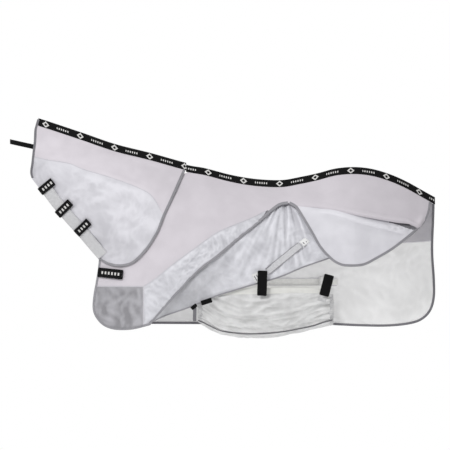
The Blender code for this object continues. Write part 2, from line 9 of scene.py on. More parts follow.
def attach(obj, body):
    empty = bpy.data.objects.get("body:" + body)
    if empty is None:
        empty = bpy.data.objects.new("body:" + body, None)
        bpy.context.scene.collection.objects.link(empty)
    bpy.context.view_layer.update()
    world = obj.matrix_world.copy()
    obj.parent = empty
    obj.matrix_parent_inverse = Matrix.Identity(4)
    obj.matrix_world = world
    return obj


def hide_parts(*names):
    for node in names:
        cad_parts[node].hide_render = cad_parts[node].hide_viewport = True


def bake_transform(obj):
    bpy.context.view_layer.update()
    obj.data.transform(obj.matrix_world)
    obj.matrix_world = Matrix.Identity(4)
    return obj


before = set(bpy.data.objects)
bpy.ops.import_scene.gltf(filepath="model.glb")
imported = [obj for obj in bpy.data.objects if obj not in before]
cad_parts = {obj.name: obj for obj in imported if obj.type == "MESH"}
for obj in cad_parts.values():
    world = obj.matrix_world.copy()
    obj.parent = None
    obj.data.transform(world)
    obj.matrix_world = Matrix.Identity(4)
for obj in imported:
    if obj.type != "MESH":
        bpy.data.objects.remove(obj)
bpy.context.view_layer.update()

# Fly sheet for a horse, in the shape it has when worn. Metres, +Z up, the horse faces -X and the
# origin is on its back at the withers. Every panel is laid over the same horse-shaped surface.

NEAR = -1
FAR = 1
SIDES = ((NEAR, "near"), (FAR, "far"))

# Cloth, tapes and thread
CLOTH = 0.0008
MID_CLOTH = 0.001
BINDING_LEAF = 0.0010
BINDING_HALF = 0.0016
TUCKED = 0.004
HEM_WIDTH = 0.013
EDGE_WIDTH = 0.012
TAIL_EDGE_WIDTH = 0.010
BINDING_SPACING = 0.008
TAPE_DROP = 0.037
SEAM_WIDTH = 0.007
STITCH = 0.0034
STITCH_PITCH = 0.0052
THREAD = 0.0007
CUT_ROUND = 0.0004
# How far round a fold its painted shade and highlight are measured
FOLD_SHADE_REACH = 0.022

# The horse: half its width, and how far below the topline and behind the chest it is reached
SPLIT = 0.004
WIDTHS = [(-1.10, 0.085), (-0.90, 0.100), (-0.60, 0.150), (-0.30, 0.225), (0.10, 0.250),
          (0.85, 0.250), (1.15, 0.215), (1.35, 0.175)]
SHOULDER_DROPS = [(-1.10, 0.15), (-0.80, 0.20), (-0.30, 0.32), (0.00, 0.38), (1.40, 0.38)]
CHEST_DEPTHS = [(-0.95, 0.34), (-0.50, 0.34), (-0.25, 0.24), (0.10, 0.20), (0.30, 0.20)]
HEM_TUCK = 0.030

# How far each layer stands off the horse
NECK_LIFT = 0.010
FACING_LIFT = 0.0155
TAB_LIFT = 0.0200
CHEST_TAB_LIFT = 0.0095
WING_LIFTS = (-0.012, -0.048)
WING_REAR = (0.40, 0.52)
WING_REAR_TUCK = 0.022
STRIP_LIFT = 0.006

# Lines of the pattern, as x and z on the side of the horse
TOPLINE = [(-1.10, 0.345), (-0.898, 0.286), (-0.665, 0.209), (-0.473, 0.143), (-0.275, 0.093),
           (-0.077, 0.038), (0.027, 0.019), (0.165, -0.017), (0.300, -0.040), (0.445, -0.047),
           (0.550, -0.030), (0.649, -0.009), (0.748, 0.017), (0.851, 0.025), (0.951, 0.014),
           (1.053, -0.017), (1.144, -0.058), (1.237, -0.110), (1.40, -0.200)]
CHEST_FRONT = [(-1.175, 0.290), (-1.012, 0.080), (-0.889, -0.080), (-0.795, -0.203),
               (-0.663, -0.350), (-0.575, -0.455), (-0.562, -0.520), (-0.590, -0.704),
               (-0.592, -1.000)]
NECKLINE = [(-0.552, -0.476), (-0.470, -0.360), (-0.370, -0.240), (-0.260, -0.120),
            (-0.160, -0.040), (-0.077, -0.006)]
CHEST_EDGE = [(-0.556, -0.482), (-0.566, -0.560), (-0.588, -0.690), (-0.590, -0.759),
              (-0.568, -0.810), (-0.524, -0.850), (-0.462, -0.868), (-0.374, -0.866),
              (-0.290, -0.846), (-0.271, -0.840)]
CHEST_SEAM_Z = -0.629
CHEST_SEAM_X = (-0.573, -0.310)
NEAR_SEAM = [(-0.310, -0.629), (-0.253, -0.592), (-0.137, -0.499), (-0.022, -0.415),
             (0.086, -0.338), (0.170, -0.299), (0.286, -0.253), (0.363, -0.214)]
NEAR_HEM_FRONT = [(-0.272, -0.838), (-0.231, -0.790), (-0.022, -0.561), (0.099, -0.467),
                  (0.209, -0.374), (0.330, -0.275), (0.407, -0.207), (0.445, -0.183),
                  (0.484, -0.176)]
NEAR_HEM_REAR = [(0.490, -0.176), (0.525, -0.197), (0.561, -0.253), (0.610, -0.335),
                 (0.654, -0.412), (0.702, -0.467), (0.748, -0.503), (0.800, -0.519),
                 (0.895, -0.515), (0.973, -0.478), (1.056, -0.429), (1.137, -0.368),
                 (1.199, -0.317)]
NEAR_TAIL_EDGE = [(1.204, -0.312), (1.241, -0.269), (1.262, -0.215), (1.270, -0.166)]
APEX = [(0.390, -0.213), (0.416, -0.194), (0.447, -0.178), (0.486, -0.171), (0.525, -0.186)]
FOLD = [(0.564, -0.192), (0.640, -0.197), (0.750, -0.216), (0.870, -0.243), (0.980, -0.264),
        (1.070, -0.280), (1.150, -0.290)]
CREASE = [(0.640, -0.222), (0.750, -0.240), (0.900, -0.290), (1.095, -0.341), (1.150, -0.350)]
FAR_SEAM = [(-0.310, -0.629), (0.000, -0.560), (0.400, -0.470), (0.800, -0.410),
            (1.286, -0.378)]
FAR_HEM = [(-0.269, -0.838), (0.200, -0.840), (0.600, -0.840), (0.895, -0.852), (1.056, -0.852),
           (1.177, -0.836), (1.241, -0.806), (1.281, -0.755), (1.298, -0.682), (1.297, -0.580),
           (1.290, -0.480), (1.288, -0.400), (1.292, -0.260), (1.293, -0.176)]
FAR_FLOOR = [(-0.310, -0.836), (0.600, -0.837), (0.895, -0.848), (1.056, -0.848), (1.177, -0.832),
             (1.238, -0.803), (1.276, -0.756), (1.286, -0.735)]
WING_ENDS = (-0.256, 0.716)
WING_FAN = (0.470, -0.060)
WING_EDGE = [(-0.262, -0.829), (-0.190, -0.796), (-0.055, -0.748), (0.071, -0.693), (0.209, -0.649),
             (0.302, -0.621), (0.440, -0.580), (0.561, -0.528), (0.680, -0.486), (0.730, -0.468)]

NECK_FRONT = [(-0.899, 0.283), (-0.908, 0.250), (-0.914, 0.220), (-0.914, 0.151), (-0.922, 0.060),
              (-0.929, 0.005), (-0.922, -0.028)]
THROAT = [(-0.912, -0.045), (-0.885, -0.080), (-0.791, -0.203), (-0.660, -0.350),
          (-0.553, -0.476)]
NECK_SEAM = [(-0.915, 0.090), (-0.825, 0.066), (-0.717, 0.044), (-0.638, 0.011),
             (-0.497, -0.033), (-0.348, -0.088), (-0.267, -0.135), (-0.203, -0.236)]
NECK_LOBE = [(-0.553, -0.476), (-0.506, -0.506), (-0.445, -0.520), (-0.385, -0.512),
             (-0.341, -0.484), (-0.286, -0.423), (-0.232, -0.335), (-0.195, -0.245)]
NECK_REAR = [(-0.193, -0.240), (-0.143, -0.132), (-0.103, -0.044), (-0.084, 0.002)]

# Fastenings
THROAT_TABS = [((-0.875, -0.105), 38.5, 0.090), ((-0.780, -0.232), 43.0, 0.098),
               ((-0.676, -0.335), 43.5, 0.095)]
THROAT_TAB_WIDTH = 0.046
CHEST_TAB_START = (-0.556, -0.552)
CHEST_TAB_SIZE = (0.138, 0.053)
POLL_STRAP_Z = 0.137
POLL_STRAP_X = -0.906
POLL_STRAP_TIP = -1.048
POLL_STRAP_RISE = 0.22
POLL_STRAP_WIDTH = 0.026
BODY_TAPE_X = (-0.077, 1.294)
NECK_TAPE_X = (-0.893, -0.079)
NEAR_STRIP = ((0.370, -0.549), (0.552, -0.399))
NEAR_STRIP_WIDTH = 0.040
# The labels, as distances from the strip's head and foot; the lower one hangs flatter than the strip
UPPER_LABEL = (0.006, 0.050)
LOWER_LABEL = (0.086, 0.050)
LOWER_LABEL_SLANT = (0.8746, 0.4848)
LOWER_LABEL_WIDTH = 0.053
FAR_STRIP = ((-0.071, -0.606), (0.759, -0.606))

# Belly flap
BELLY_FRONT_X = -0.010
BELLY_REAR_X = 0.735
ELASTIC_WIDTH = 0.024
BELLY_FAR_Y = 0.205
BELLY_NEAR_Y = -0.185
BELLY_FAR_Z = -0.626
BELLY_HEM = [(-0.030, -0.815), (0.000, -0.832), (0.033, -0.850), (0.071, -0.872),
             (0.132, -0.898), (0.269, -0.914), (0.440, -0.903), (0.594, -0.872),
             (0.735, -0.840), (0.780, -0.830)]
BELLY_TOP = [(-0.030, -0.715), (0.020, -0.690), (0.110, -0.655), (0.250, -0.640),
             (0.620, -0.640), (0.700, -0.668), (0.780, -0.700)]
BELLY_TABS = {
    "belly_front_tab": ((0.007, -0.2065, -0.7215), (0.065, -0.219, -0.7030), 0.027),
    "belly_middle_tab": ((0.340, -0.208, -0.680), (0.344, -0.232, -0.542), 0.053),
    "belly_rear_tab": ((0.681, -0.206, -0.681), (0.711, -0.214, -0.565), 0.054),
}
BELLY_FAR_TABS = (0.030, 0.320, 0.690)
KEEPER = ((0.668, -0.2035, -0.712), (0.673, -0.2035, -0.692))
FRONT_STRAP_END = ((-0.047, -0.204, -0.752), (-0.019, -0.206, -0.729))
FRONT_STRAP_TAIL = ((-0.0300, -0.2025, -0.820), (-0.0280, -0.2035, -0.744))

# How strongly the room lights the sheet, and what the camera takes in
ROOM_LIGHT = 0.61
VIEW_CENTRE = (0.1375, -0.15, -0.2915)
VIEW_WIDTH = 2.475
LENS = 900.0
SENSOR = 36.0


# Curves and the horse's surface

def along_curve(points, at):
    """Points on the smooth curve through points, where at runs from 0 to the last one's number."""
    points = np.asarray(points, float)
    at = np.clip(np.asarray(at, float), 0, len(points) - 1)
    padded = np.vstack([2 * points[0] - points[1], points, 2 * points[-1] - points[-2]])
    k = np.minimum(at.astype(int), len(points) - 2)
    t = (at - k)[:, None]
    p0, p1, p2, p3 = (padded[k + i] for i in range(4))
    return 0.5 * (2 * p1 + (p2 - p0) * t + (2 * p0 - 5 * p1 + 4 * p2 - p3) * t ** 2
                  + (3 * p1 - p0 - 3 * p2 + p3) * t ** 3)


def curve(points, count):
    """Count points along the smooth curve, as many between each two of its points."""
    return along_curve(points, np.linspace(0, len(points) - 1, count))


def lengths(line):
    """How far along a line each of its points is."""
    gaps = np.linalg.norm(np.diff(line, axis=0), axis=1)
    return np.concatenate([[0.0], np.cumsum(gaps)])


def walked(line, run, at):
    """Places on a line at distances from its start, where run says how far along its points are."""
    return np.stack([np.interp(at, run, line[:, i]) for i in range(line.shape[1])], axis=1)


def rail(points, count):
    """Count points, equally far apart along the smooth curve."""
    fine = curve(points, 12 * (len(points) - 1) + 1)
    run = lengths(fine)
    return walked(fine, run, np.linspace(0, run[-1], count))


def offset(line, distance):
    """The line moved sideways in its plane, to its left for a positive distance."""
    line = np.asarray(line, float)
    ahead = np.gradient(line, axis=0)
    left = np.stack([-ahead[:, 1], ahead[:, 0]], axis=1)
    return line + left / np.linalg.norm(left, axis=1)[:, None] * distance


def straight(a, b, count):
    """Count points on the straight line from a to b."""
    return np.linspace(np.asarray(a, float), np.asarray(b, float), count)


def read(table, at):
    """The second column of a table or line where its first column is at."""
    table = np.asarray(table, float)
    return np.interp(at, table[:, 0], table[:, 1])


TOP_ROWS = rail(TOPLINE, 160)
FRONT_ROWS = rail(CHEST_FRONT, 120)


def top(x):
    """Height of the topline."""
    return read(TOP_ROWS, x)


def rounding(t):
    """0 at the edge of the horse, rising to 1 where its side is reached."""
    t = np.clip(t, 0.0, 1.0)
    return t * (2.0 - t)


def half_width(x, z):
    """Half the horse's width at places on its side."""
    behind = x - np.interp(-z, -FRONT_ROWS[:, 1], FRONT_ROWS[:, 0])
    side = read(WIDTHS, x) * rounding((top(x) - z) / read(SHOULDER_DROPS, x))
    side = side * rounding(behind / read(CHEST_DEPTHS, z))
    tuck = HEM_TUCK * np.clip((-z - 0.45) / 0.40, 0.0, 1.0) ** 2
    return np.maximum(side - tuck * rounding(behind / 0.3), 0.0) + SPLIT


def on_horse(flat, side, lift=0.0):
    """Places on the side of the horse, lifted off it, and the directions out of it."""
    x = flat[..., 0]
    z = flat[..., 1]
    e = 0.002
    slope_x = (half_width(x + e, z) - half_width(x - e, z)) / (2 * e)
    slope_z = (half_width(x, z + e) - half_width(x, z - e)) / (2 * e)
    out = np.stack([-slope_x, np.full(x.shape, float(side)), -slope_z], axis=-1)
    out /= np.linalg.norm(out, axis=-1)[..., None]
    places = np.stack([x, side * half_width(x, z), z], axis=-1)
    return places + out * np.asarray(lift)[..., None], out


def ruled(low, high, rows):
    """A grid of places on lines drawn from one rail to the other."""
    v = np.linspace(0, 1, rows)[:, None, None]
    return np.asarray(low)[None] * (1 - v) + np.asarray(high)[None] * v


def chest_seam(count):
    """Points along the level seam over the satin panel."""
    return straight((CHEST_SEAM_X[0], CHEST_SEAM_Z), (CHEST_SEAM_X[1], CHEST_SEAM_Z), count)


def tape_edge(first_x, last_x, count):
    """The lower edge of the tape over the spine, tucked a little under it."""
    x = np.linspace(first_x, last_x, count)
    return np.stack([x, top(x) - TAPE_DROP + 0.004], axis=1)


def body_top(count, last_x):
    """From the chest up the neck hole and along the spine to the tail."""
    return np.vstack([rail(NECKLINE, 11), tape_edge(-0.055, last_x, count - 11)])


def hem_z(x):
    """Height of the lifted near hem over the wing."""
    return read(rail(NEAR_HEM_FRONT + NEAR_HEM_REAR[:7], 120), x)


def wing_z(x):
    """Height of the wing's lower edge."""
    return read(rail(WING_EDGE, 60), x)


def wing_lift(flat):
    """The wing leans inwards from the hem to its lower edge, and its rear end lies deeper."""
    x = flat[..., 0]
    down = (hem_z(x) - flat[..., 1]) / np.maximum(hem_z(x) - wing_z(x), 0.01)
    rear = np.clip((x - WING_REAR[0]) / (WING_REAR[1] - WING_REAR[0]), 0.0, 1.0)
    upper = WING_LIFTS[0] - WING_REAR_TUCK * rear
    return upper + (WING_LIFTS[1] - upper) * np.clip(down, 0.0, 1.0)


def belly_places(x, v):
    """The sling at stations x, from its far edge at v 0 round to its near edge at v 1."""
    floor = read(rail(BELLY_HEM, 40), x)
    near_top = read(rail(BELLY_TOP, 40), x)
    y = BELLY_FAR_Y + (BELLY_NEAR_Y - BELLY_FAR_Y) * (v - 0.07 * np.sin(2 * math.pi * v))
    start = BELLY_FAR_Z + (near_top - BELLY_FAR_Z) * v
    z = start + (floor - start) * np.clip(np.sin(math.pi * v), 0, 1) ** 0.85
    return np.stack([x + 0 * v, y, z], axis=-1)


# Folds and wrinkles

def bumps(u, v, length, width, seed):
    """Smooth bumps between -1 and 1, about length by width across."""
    u, v = np.broadcast_arrays(u, v)
    values = [noise.noise(Vector((a / length, b / width, seed)))
              for a, b in zip(u.ravel(), v.ravel())]
    return np.array(values).reshape(u.shape) * 1.6


def crumple(u, v, size, seed):
    """Crushed cloth: sharp small ridges over softer ones."""
    bend = bumps(u, v, size * 2.2, size * 2.2, seed + 7.3) * size * 0.5
    total = np.zeros(np.shape(u))
    for octave, share in ((1.0, 1.0), (0.5, 0.55), (0.27, 0.25)):
        step = bumps(u + bend, v - bend, size * octave, size * octave, seed + octave)
        total += share * (0.55 - np.minimum(np.abs(step), 1.0))
    return total / 1.2


def steps(value, low, high):
    """0 below low, 1 above high, smooth between."""
    t = np.clip((value - low) / (high - low), 0.0, 1.0)
    return t * t * (3 - 2 * t)


def measured(places):
    """Distances in metres along the rows and the columns of a grid of places."""
    u = np.zeros(places.shape[:2])
    v = np.zeros(places.shape[:2])
    u[:, 1:] = np.cumsum(np.linalg.norm(np.diff(places, axis=1), axis=2), axis=1)
    v[1:, :] = np.cumsum(np.linalg.norm(np.diff(places, axis=0), axis=2), axis=0)
    return u, v


def held_edges(places, fade):
    """0 along the grid's edges, where it is sewn, and 1 further in than fade."""
    u, v = measured(places)
    inside = np.minimum(np.minimum(u, u[:, -1:] - u), np.minimum(v, v[-1:, :] - v))
    return steps(inside, 0.0, fade)


# Materials

def linear(code):
    """An sRGB hex colour as the linear colour that a shader takes."""
    parts = [int(code[i:i + 2], 16) / 255 for i in (0, 2, 4)]
    return tuple(p / 12.92 if p <= 0.04045 else ((p + 0.055) / 1.055) ** 2.4
                 for p in parts) + (1.0,)


def node(tree, kind, settings=None, inputs=None):
    """Add a node with its settings, and with its inputs set or linked."""
    made = tree.nodes.new("ShaderNode" + kind)
    for key, value in (settings or {}).items():
        setattr(made, key, value)
    for key, value in (inputs or {}).items():
        if isinstance(value, bpy.types.NodeSocket):
            tree.links.new(value, made.inputs[key])
        else:
            made.inputs[key].default_value = value
    return made


def maths(tree, operation, first, second=0.0):
    """The result of one operation on sockets or numbers."""
    return node(tree, "Math", {"operation": operation}, {0: first, 1: second}).outputs[0]


def blank(name):
    """A new material, its tree and its Principled shader."""
    made = bpy.data.materials.new(name)
    made.use_nodes = True
    return made, made.node_tree, made.node_tree.nodes["Principled BSDF"]


def tune(shader, values):
    """Set inputs of a shader by their names."""
    for key, value in values.items():
        shader.inputs[key].default_value = value


def cloth_material(name):
    """A new material, its tree, its shader, places on the object, and u and v along the cloth."""
    made, tree, shader = blank(name)
    place = node(tree, "TexCoord")
    flat = node(tree, "SeparateXYZ", None, {0: place.outputs["UV"]})
    return made, tree, shader, place.outputs["Object"], flat.outputs[0], flat.outputs[1]


def clouds(tree, place, size, detail=3.0):
    """Soft noise with patches about size across."""
    return node(tree, "TexNoise", None,
                {"Vector": place, "Scale": 1 / size, "Detail": detail}).outputs[0]


def two_colours(tree, share, dark, light):
    """The mix of two colours, all light where share is 1."""
    return node(tree, "Mix", {"data_type": "RGBA"}, {0: share, 6: dark, 7: light}).outputs[2]


def surfaced(tree, shader, colour, height, strength, relief):
    """Give the shader its colour, and bumps up to relief high that follow height."""
    bump = node(tree, "Bump", None, {"Strength": strength, "Distance": relief, "Height": height})
    tree.links.new(colour, shader.inputs["Base Color"])
    tree.links.new(bump.outputs[0], shader.inputs["Normal"])


def threads(tree, u, v, pitch_u, pitch_v):
    """Height of a weave or knit, 0 to 1, whose threads are pitch_u and pitch_v apart."""
    across = maths(tree, "SINE", maths(tree, "MULTIPLY", u, 2 * math.pi / pitch_u))
    along = maths(tree, "SINE", maths(tree, "MULTIPLY", v, 2 * math.pi / pitch_v))
    both = maths(tree, "MULTIPLY", across, along)
    return maths(tree, "ADD", maths(tree, "MULTIPLY", both, 0.5), 0.5)


# How dark a cloth's painted shade is and its colour, the size of a cloth's fuzz, and half a
# lozenge's length and height
PAINTED_SHADE_SHARE = 0.33
PAINTED_SHADE_COLOUR = "5A5A5C"
FUZZ = 0.004
LOZENGE = (0.021, 0.017)


def fabric(name, light, dark, pitch, patch=0.07, roughness=0.8, sheen=0.2, alpha=1.0,
           weave_share=0.3, relief=0.0003, fold_shading=0.0, painted_shade_span=None):
    """A cloth of two close colours: soft patches about patch across, and threads pitch apart.

    The crease attribute, from -1 in a pressed-in fold to 1 on a ridge, shifts it by fold_shading:
    painted shade in the folds and painted highlight on the ridges.
    A cloth with painted_shade_span gets painted shade between two places along the object, a third
    greyer before the first."""
    made, tree, shader, place, u, v = cloth_material(name)
    weave = threads(tree, u, v, pitch[0], pitch[1])
    spread = node(tree, "MapRange", None,
                  {0: clouds(tree, place, patch), 1: 0.32, 2: 0.68, 3: 0.0, 4: 1.0 - weave_share})
    share = maths(tree, "ADD", spread.outputs[0], maths(tree, "MULTIPLY", weave, weave_share))
    # Painted shade in the folds and painted highlight on the ridges, from the crease attribute
    painted_fold_light = node(tree, "Attribute", {"attribute_name": "crease"})
    share = maths(tree, "ADD", share, maths(tree, "MULTIPLY", painted_fold_light.outputs["Fac"], fold_shading))
    colour = two_colours(tree, share, linear(dark), linear(light))
    # Painted shade: the cloth greyed towards the front of the span
    if painted_shade_span:
        spot = node(tree, "SeparateXYZ", None, {0: place})
        front = node(tree, "MapRange", {"interpolation_type": "SMOOTHSTEP"},
                     {0: spot.outputs[0], 1: painted_shade_span[0], 2: painted_shade_span[1], 3: PAINTED_SHADE_SHARE, 4: 0.0})
        colour = two_colours(tree, front.outputs[0], colour, linear(PAINTED_SHADE_COLOUR))
    height = maths(tree, "ADD", weave, clouds(tree, place, FUZZ, 2.0))
    surfaced(tree, shader, colour, height, 0.6, relief)
    tune(shader, {"Roughness": roughness, "Sheen Weight": sheen, "Sheen Roughness": 0.45,
                  "Alpha": alpha})
    return made


def ribbed(name, light, dark, rib, roughness=0.75, specular=0.5, sheen=0.1):
    """Tape woven with ribs across it, rib apart along its length."""
    made, tree, shader, place, u, _ = cloth_material(name)
    wave = maths(tree, "SINE", maths(tree, "MULTIPLY", u, 2 * math.pi / rib))
    share = maths(tree, "ADD", maths(tree, "MULTIPLY", wave, 0.22), clouds(tree, place, 0.03))
    colour = two_colours(tree, share, linear(dark), linear(light))
    surfaced(tree, shader, colour, wave, 0.7, 0.0003)
    tune(shader, {"Roughness": roughness, "Specular IOR Level": specular, "Sheen Weight": sheen})
    return made


def motif_tape(name, light, shade, repeat, reach, tall, bar_pitch, middle=0.0, lozenges=False):
    """Black woven tape with light bars reach to each side of the middle of each repeat, tall to
    each side of the tape's own middle, and lozenges between them."""
    made, tree, shader, _, u, v = cloth_material(name)
    turns = maths(tree, "FRACT", maths(tree, "DIVIDE", u, repeat))
    along = maths(tree, "MULTIPLY", maths(tree, "SUBTRACT", turns, 0.5), repeat)
    far_along = maths(tree, "ABSOLUTE", along)
    across = maths(tree, "ABSOLUTE", maths(tree, "SUBTRACT", v, middle))
    in_row = maths(tree, "LESS_THAN", far_along, reach)
    wave = maths(tree, "SINE", maths(tree, "MULTIPLY", along, 2 * math.pi / bar_pitch))
    bar = maths(tree, "GREATER_THAN", wave, 0.05)
    low = maths(tree, "LESS_THAN", across, tall)
    pattern = maths(tree, "MULTIPLY", maths(tree, "MULTIPLY", in_row, bar), low)
    if lozenges:
        from_end = maths(tree, "SUBTRACT", repeat / 2, far_along)
        sloped = maths(tree, "ADD", maths(tree, "DIVIDE", from_end, LOZENGE[0]),
                       maths(tree, "DIVIDE", across, LOZENGE[1]))
        outline = maths(tree, "COMPARE", sloped, 0.72)
        outline.node.inputs[2].default_value = 0.24
        pattern = maths(tree, "MAXIMUM", outline, pattern)
    weave = threads(tree, u, v, 0.0016, 0.0012)
    sign = two_colours(tree, weave, linear(shade), linear(light))
    ground = two_colours(tree, weave, linear("050506"), linear("0B0B0C"))
    colour = two_colours(tree, pattern, ground, sign)
    surfaced(tree, shader, colour, maths(tree, "ADD", weave, pattern), 0.5, 0.0003)
    tune(shader, {"Roughness": 0.8, "Specular IOR Level": 0.15})
    return made


# Threads, ribs and knit loops are drawn coarser than the real ones, mostly two to four times, so
# that they show at the size of the picture. Each material has its lighter colour first.

# fold_shading says how much painted shade and painted highlight each cloth gets in its folds and on
# its ridges
# Warp-knit polyester with a brushed face: flat light mauve grey, with a fine vertical rib
UPPER_KNIT = fabric("brushed_warp_knit_polyester", "CCC7CD", "C3BEC4", (0.0030, 0.0022),
                    patch=0.11, roughness=0.85, sheen=0.15, fold_shading=0.4)
# The same knit's unbrushed back, painted darker: painted shade for the rug's inside, where it lies
SHADED_KNIT_BACK = fabric("warp_knit_polyester_back_painted_shade", "B2B0B4", "A3A1A6", (0.0030, 0.0022),
                   patch=0.11, roughness=0.9, sheen=0.1)
# Open polyester mesh, crushed in finishing: bluish white, and some of what is behind shows.
# The wing hangs as a double layer at its front, and there it has painted shade, greyer towards the
# front
CRUSHED = {"pitch": (0.0024, 0.0024), "patch": 0.060, "roughness": 0.42, "sheen": 0.3,
           "relief": 0.0004, "weave_share": 0.45}
WING_MESH = fabric("crushed_polyester_mesh", "E8E8EE", "C4C4CA", alpha=0.84, fold_shading=0.42,
                   painted_shade_span=(-0.10, 0.26), **CRUSHED)
# The same mesh outside the body, a little greyer
BAND_MESH = fabric("crushed_polyester_mesh_outside", "DCDCE2", "BEBEC4", alpha=0.88, fold_shading=0.40,
                   **CRUSHED)
# The belly's mesh is the same quality without the blue, and lets less through
BELLY_MESH = fabric("crushed_white_polyester_mesh", "E0E0E0", "BEBEBE", alpha=0.93, fold_shading=0.42,
                    **CRUSHED)
# Smoother mesh of the neck cover, mauve grey like the knit: hangs in broad soft folds
SMOOTH = {"pitch": (0.0024, 0.0024), "patch": 0.12, "sheen": 0.25, "fold_shading": 0.5}
NECK_MESH = fabric("smooth_polyester_mesh", "D6D5DB", "C3C2C8", roughness=0.65, alpha=0.94,
                   **SMOOTH)
# The same mesh, lighter and closer, at the lower rear corner
SKIRT_MESH = fabric("close_polyester_mesh", "DEDDE3", "CCCBD1", roughness=0.65, alpha=0.96,
                    **SMOOTH)
# Thin white mesh of the far side: the room shows through it, so it looks near white
WHITE_MESH = fabric("white_polyester_mesh", "E6E6E6", "DADADA", roughness=0.7, alpha=0.70,
                    **SMOOTH)
# Polyester satin over the shoulder, smooth so that the coat isn't rubbed: darker, soft shine
SATIN = fabric("polyester_satin_lining", "A8A7AC", "868589", (0.0012, 0.0030), patch=0.09,
               roughness=0.36, sheen=0.1, relief=0.0001, weave_share=0.1, fold_shading=0.45)
# Grosgrain edge binding, folded over the cloth and sewn through
GROSGRAIN = ribbed("grey_grosgrain_binding", "9C9BA0", "838287", 0.0022)
DARK_GROSGRAIN = ribbed("dark_grosgrain_binding", "77767B", "605F64", 0.0022)
# The panels' own cloth turned in and sewn down: a pale line along the seams
LIGHT_HEM = ribbed("light_felled_seam", "C4C2C8", "B6B4BA", 0.0026)
WHITE_HEM = ribbed("white_folded_hem", "E2E2DE", "D2D2CE", 0.0026)
# Polypropylene webbing: near black, ribbed, dull
WEBBING = ribbed("black_polypropylene_webbing", "0B0B0C", "040405", 0.0024, roughness=0.8,
                 specular=0.15, sheen=0.0)
# The same webbing undyed, on the far side: hardly told from the mesh that it shows through
PALE_WEBBING = ribbed("pale_polypropylene_webbing", "DCDCDA", "CACAC8", 0.0024, roughness=0.65)
# Jacquard polyester tape over the spine: black, with a light sign woven in at each repeat
TAPE = motif_tape("jacquard_polyester_tape", "E4E3E1", "B9B8B6", lozenges=True, middle=0.0185,
                  repeat=0.200, reach=0.036, tall=0.0048, bar_pitch=0.0125)
# Webbing of the closing tabs, with a plain row of light bars woven in
THROAT_WEBBING = motif_tape("barred_throat_webbing", "DEDDDB", "B9B8B6", repeat=0.110,
                            reach=0.0362, tall=0.0078, bar_pitch=0.018)
CHEST_WEBBING = motif_tape("barred_chest_webbing", "DEDDDB", "B9B8B6", repeat=0.150,
                           reach=0.0542, tall=0.0078, bar_pitch=0.018)
# Loop side of hook-and-loop tape: a matt felt of tiny nylon loops
LOOP = fabric("nylon_loop_pile", "D2D2D5", "BCBCBF", (0.0030, 0.0030), patch=0.008,
              roughness=0.95, sheen=0.5, relief=0.0008)
PALE_LOOP = fabric("pale_nylon_loop_pile", "DFDFDC", "D0D0CD", (0.0030, 0.0030), patch=0.010,
                   roughness=0.95, sheen=0.5, relief=0.0008)
# Brushed nylon that the throat's tabs close on: a matt grey strip
FACING = fabric("brushed_nylon_facing", "CBCBCD", "BFBFC1", (0.0030, 0.0030), patch=0.015,
                roughness=0.9, sheen=0.4, relief=0.0006)
# Woven satin label: the whitest thing on the sheet, with a slight shine
LABEL = ribbed("woven_satin_label", "F2F2F2", "E4E4E4", 0.0012, roughness=0.5)
# Knit elastic gathered under the cloth: close pleats, with painted highlight light on top and
# painted shade dark between
ELASTIC = ribbed("ruched_knit_elastic", "DADADA", "858588", 0.0060, roughness=0.8)
# Twisted polyester sewing thread, a touch off its cloth's colour so that the stitches show
GREY_THREAD = ribbed("grey_polyester_thread", "8E8D92", "7A797E", 0.0010, roughness=0.5)
DARK_THREAD = ribbed("dark_polyester_thread", "4E4E52", "3E3E42", 0.0010, roughness=0.5)
PALE_THREAD = ribbed("pale_polyester_thread", "D8D7DB", "C4C3C8", 0.0010, roughness=0.5)
BLACK_THREAD = ribbed("black_polyester_thread", "1E1E20", "141416", 0.0010, roughness=0.6,
                      specular=0.2, sheen=0.0)


# Making pieces

def linked(name, data):
    """A new object in the scene."""
    made = bpy.data.objects.new(name, data)
    bpy.context.scene.collection.objects.link(made)
    return made


def write_uv(mesh, spots):
    """Set the mesh's texture coordinates, from one pair for each vertex."""
    layer = mesh.uv_layers.new(name="cloth")
    corners = np.empty(len(mesh.loops), np.int32)
    mesh.loops.foreach_get("vertex_index", corners)
    layer.data.foreach_set("uv", spots[corners].astype(np.float32).ravel())


def piece(name, places, run, finish, height=None):
    """A mesh over a grid of places; run is how far along its rows and columns they are."""
    rows, cols = places.shape[:2]
    index = np.arange(rows * cols).reshape(rows, cols)
    quads = np.stack([index[:-1, :-1], index[:-1, 1:], index[1:, 1:], index[1:, :-1]], axis=-1)
    mesh = bpy.data.meshes.new(name)
    mesh.from_pydata(places.reshape(-1, 3).tolist(), [], quads.reshape(-1, 4).tolist())
    write_uv(mesh, np.stack(run, axis=-1).reshape(-1, 2))
    # The crease attribute holds painted shade for the folds and painted highlight for the ridges
    if height is not None:
        crease = mesh.attributes.new("crease", "FLOAT", "POINT")
        crease.data.foreach_set("value", painted_fold_shades(height, places).astype(np.float32).ravel())
    mesh.materials.append(finish)
    return linked(name, mesh)


def painted_fold_shades(height, places):
    """Painted shade and highlight, -1 in the folds to 1 on the ridges, from how high a grid stands
    over its surroundings.
    """
    spacing = np.linalg.norm(places[1, 1] - places[0, 0]) / math.sqrt(2)
    reach = max(2, int(FOLD_SHADE_REACH / spacing))
    around = height
    for axis in (0, 1):
        ends = [(0, 0), (0, 0)]
        ends[axis] = (reach, reach)
        run = np.cumsum(np.pad(around, ends, mode="edge"), axis=axis)
        size = around.shape[axis]
        around = (np.take(run, range(2 * reach, 2 * reach + size), axis=axis)
                  - np.take(run, range(0, size), axis=axis)) / (2 * reach)
    stands = height - around
    return np.clip(stands / (2.2 * stands.std() + 0.00005), -1, 1)


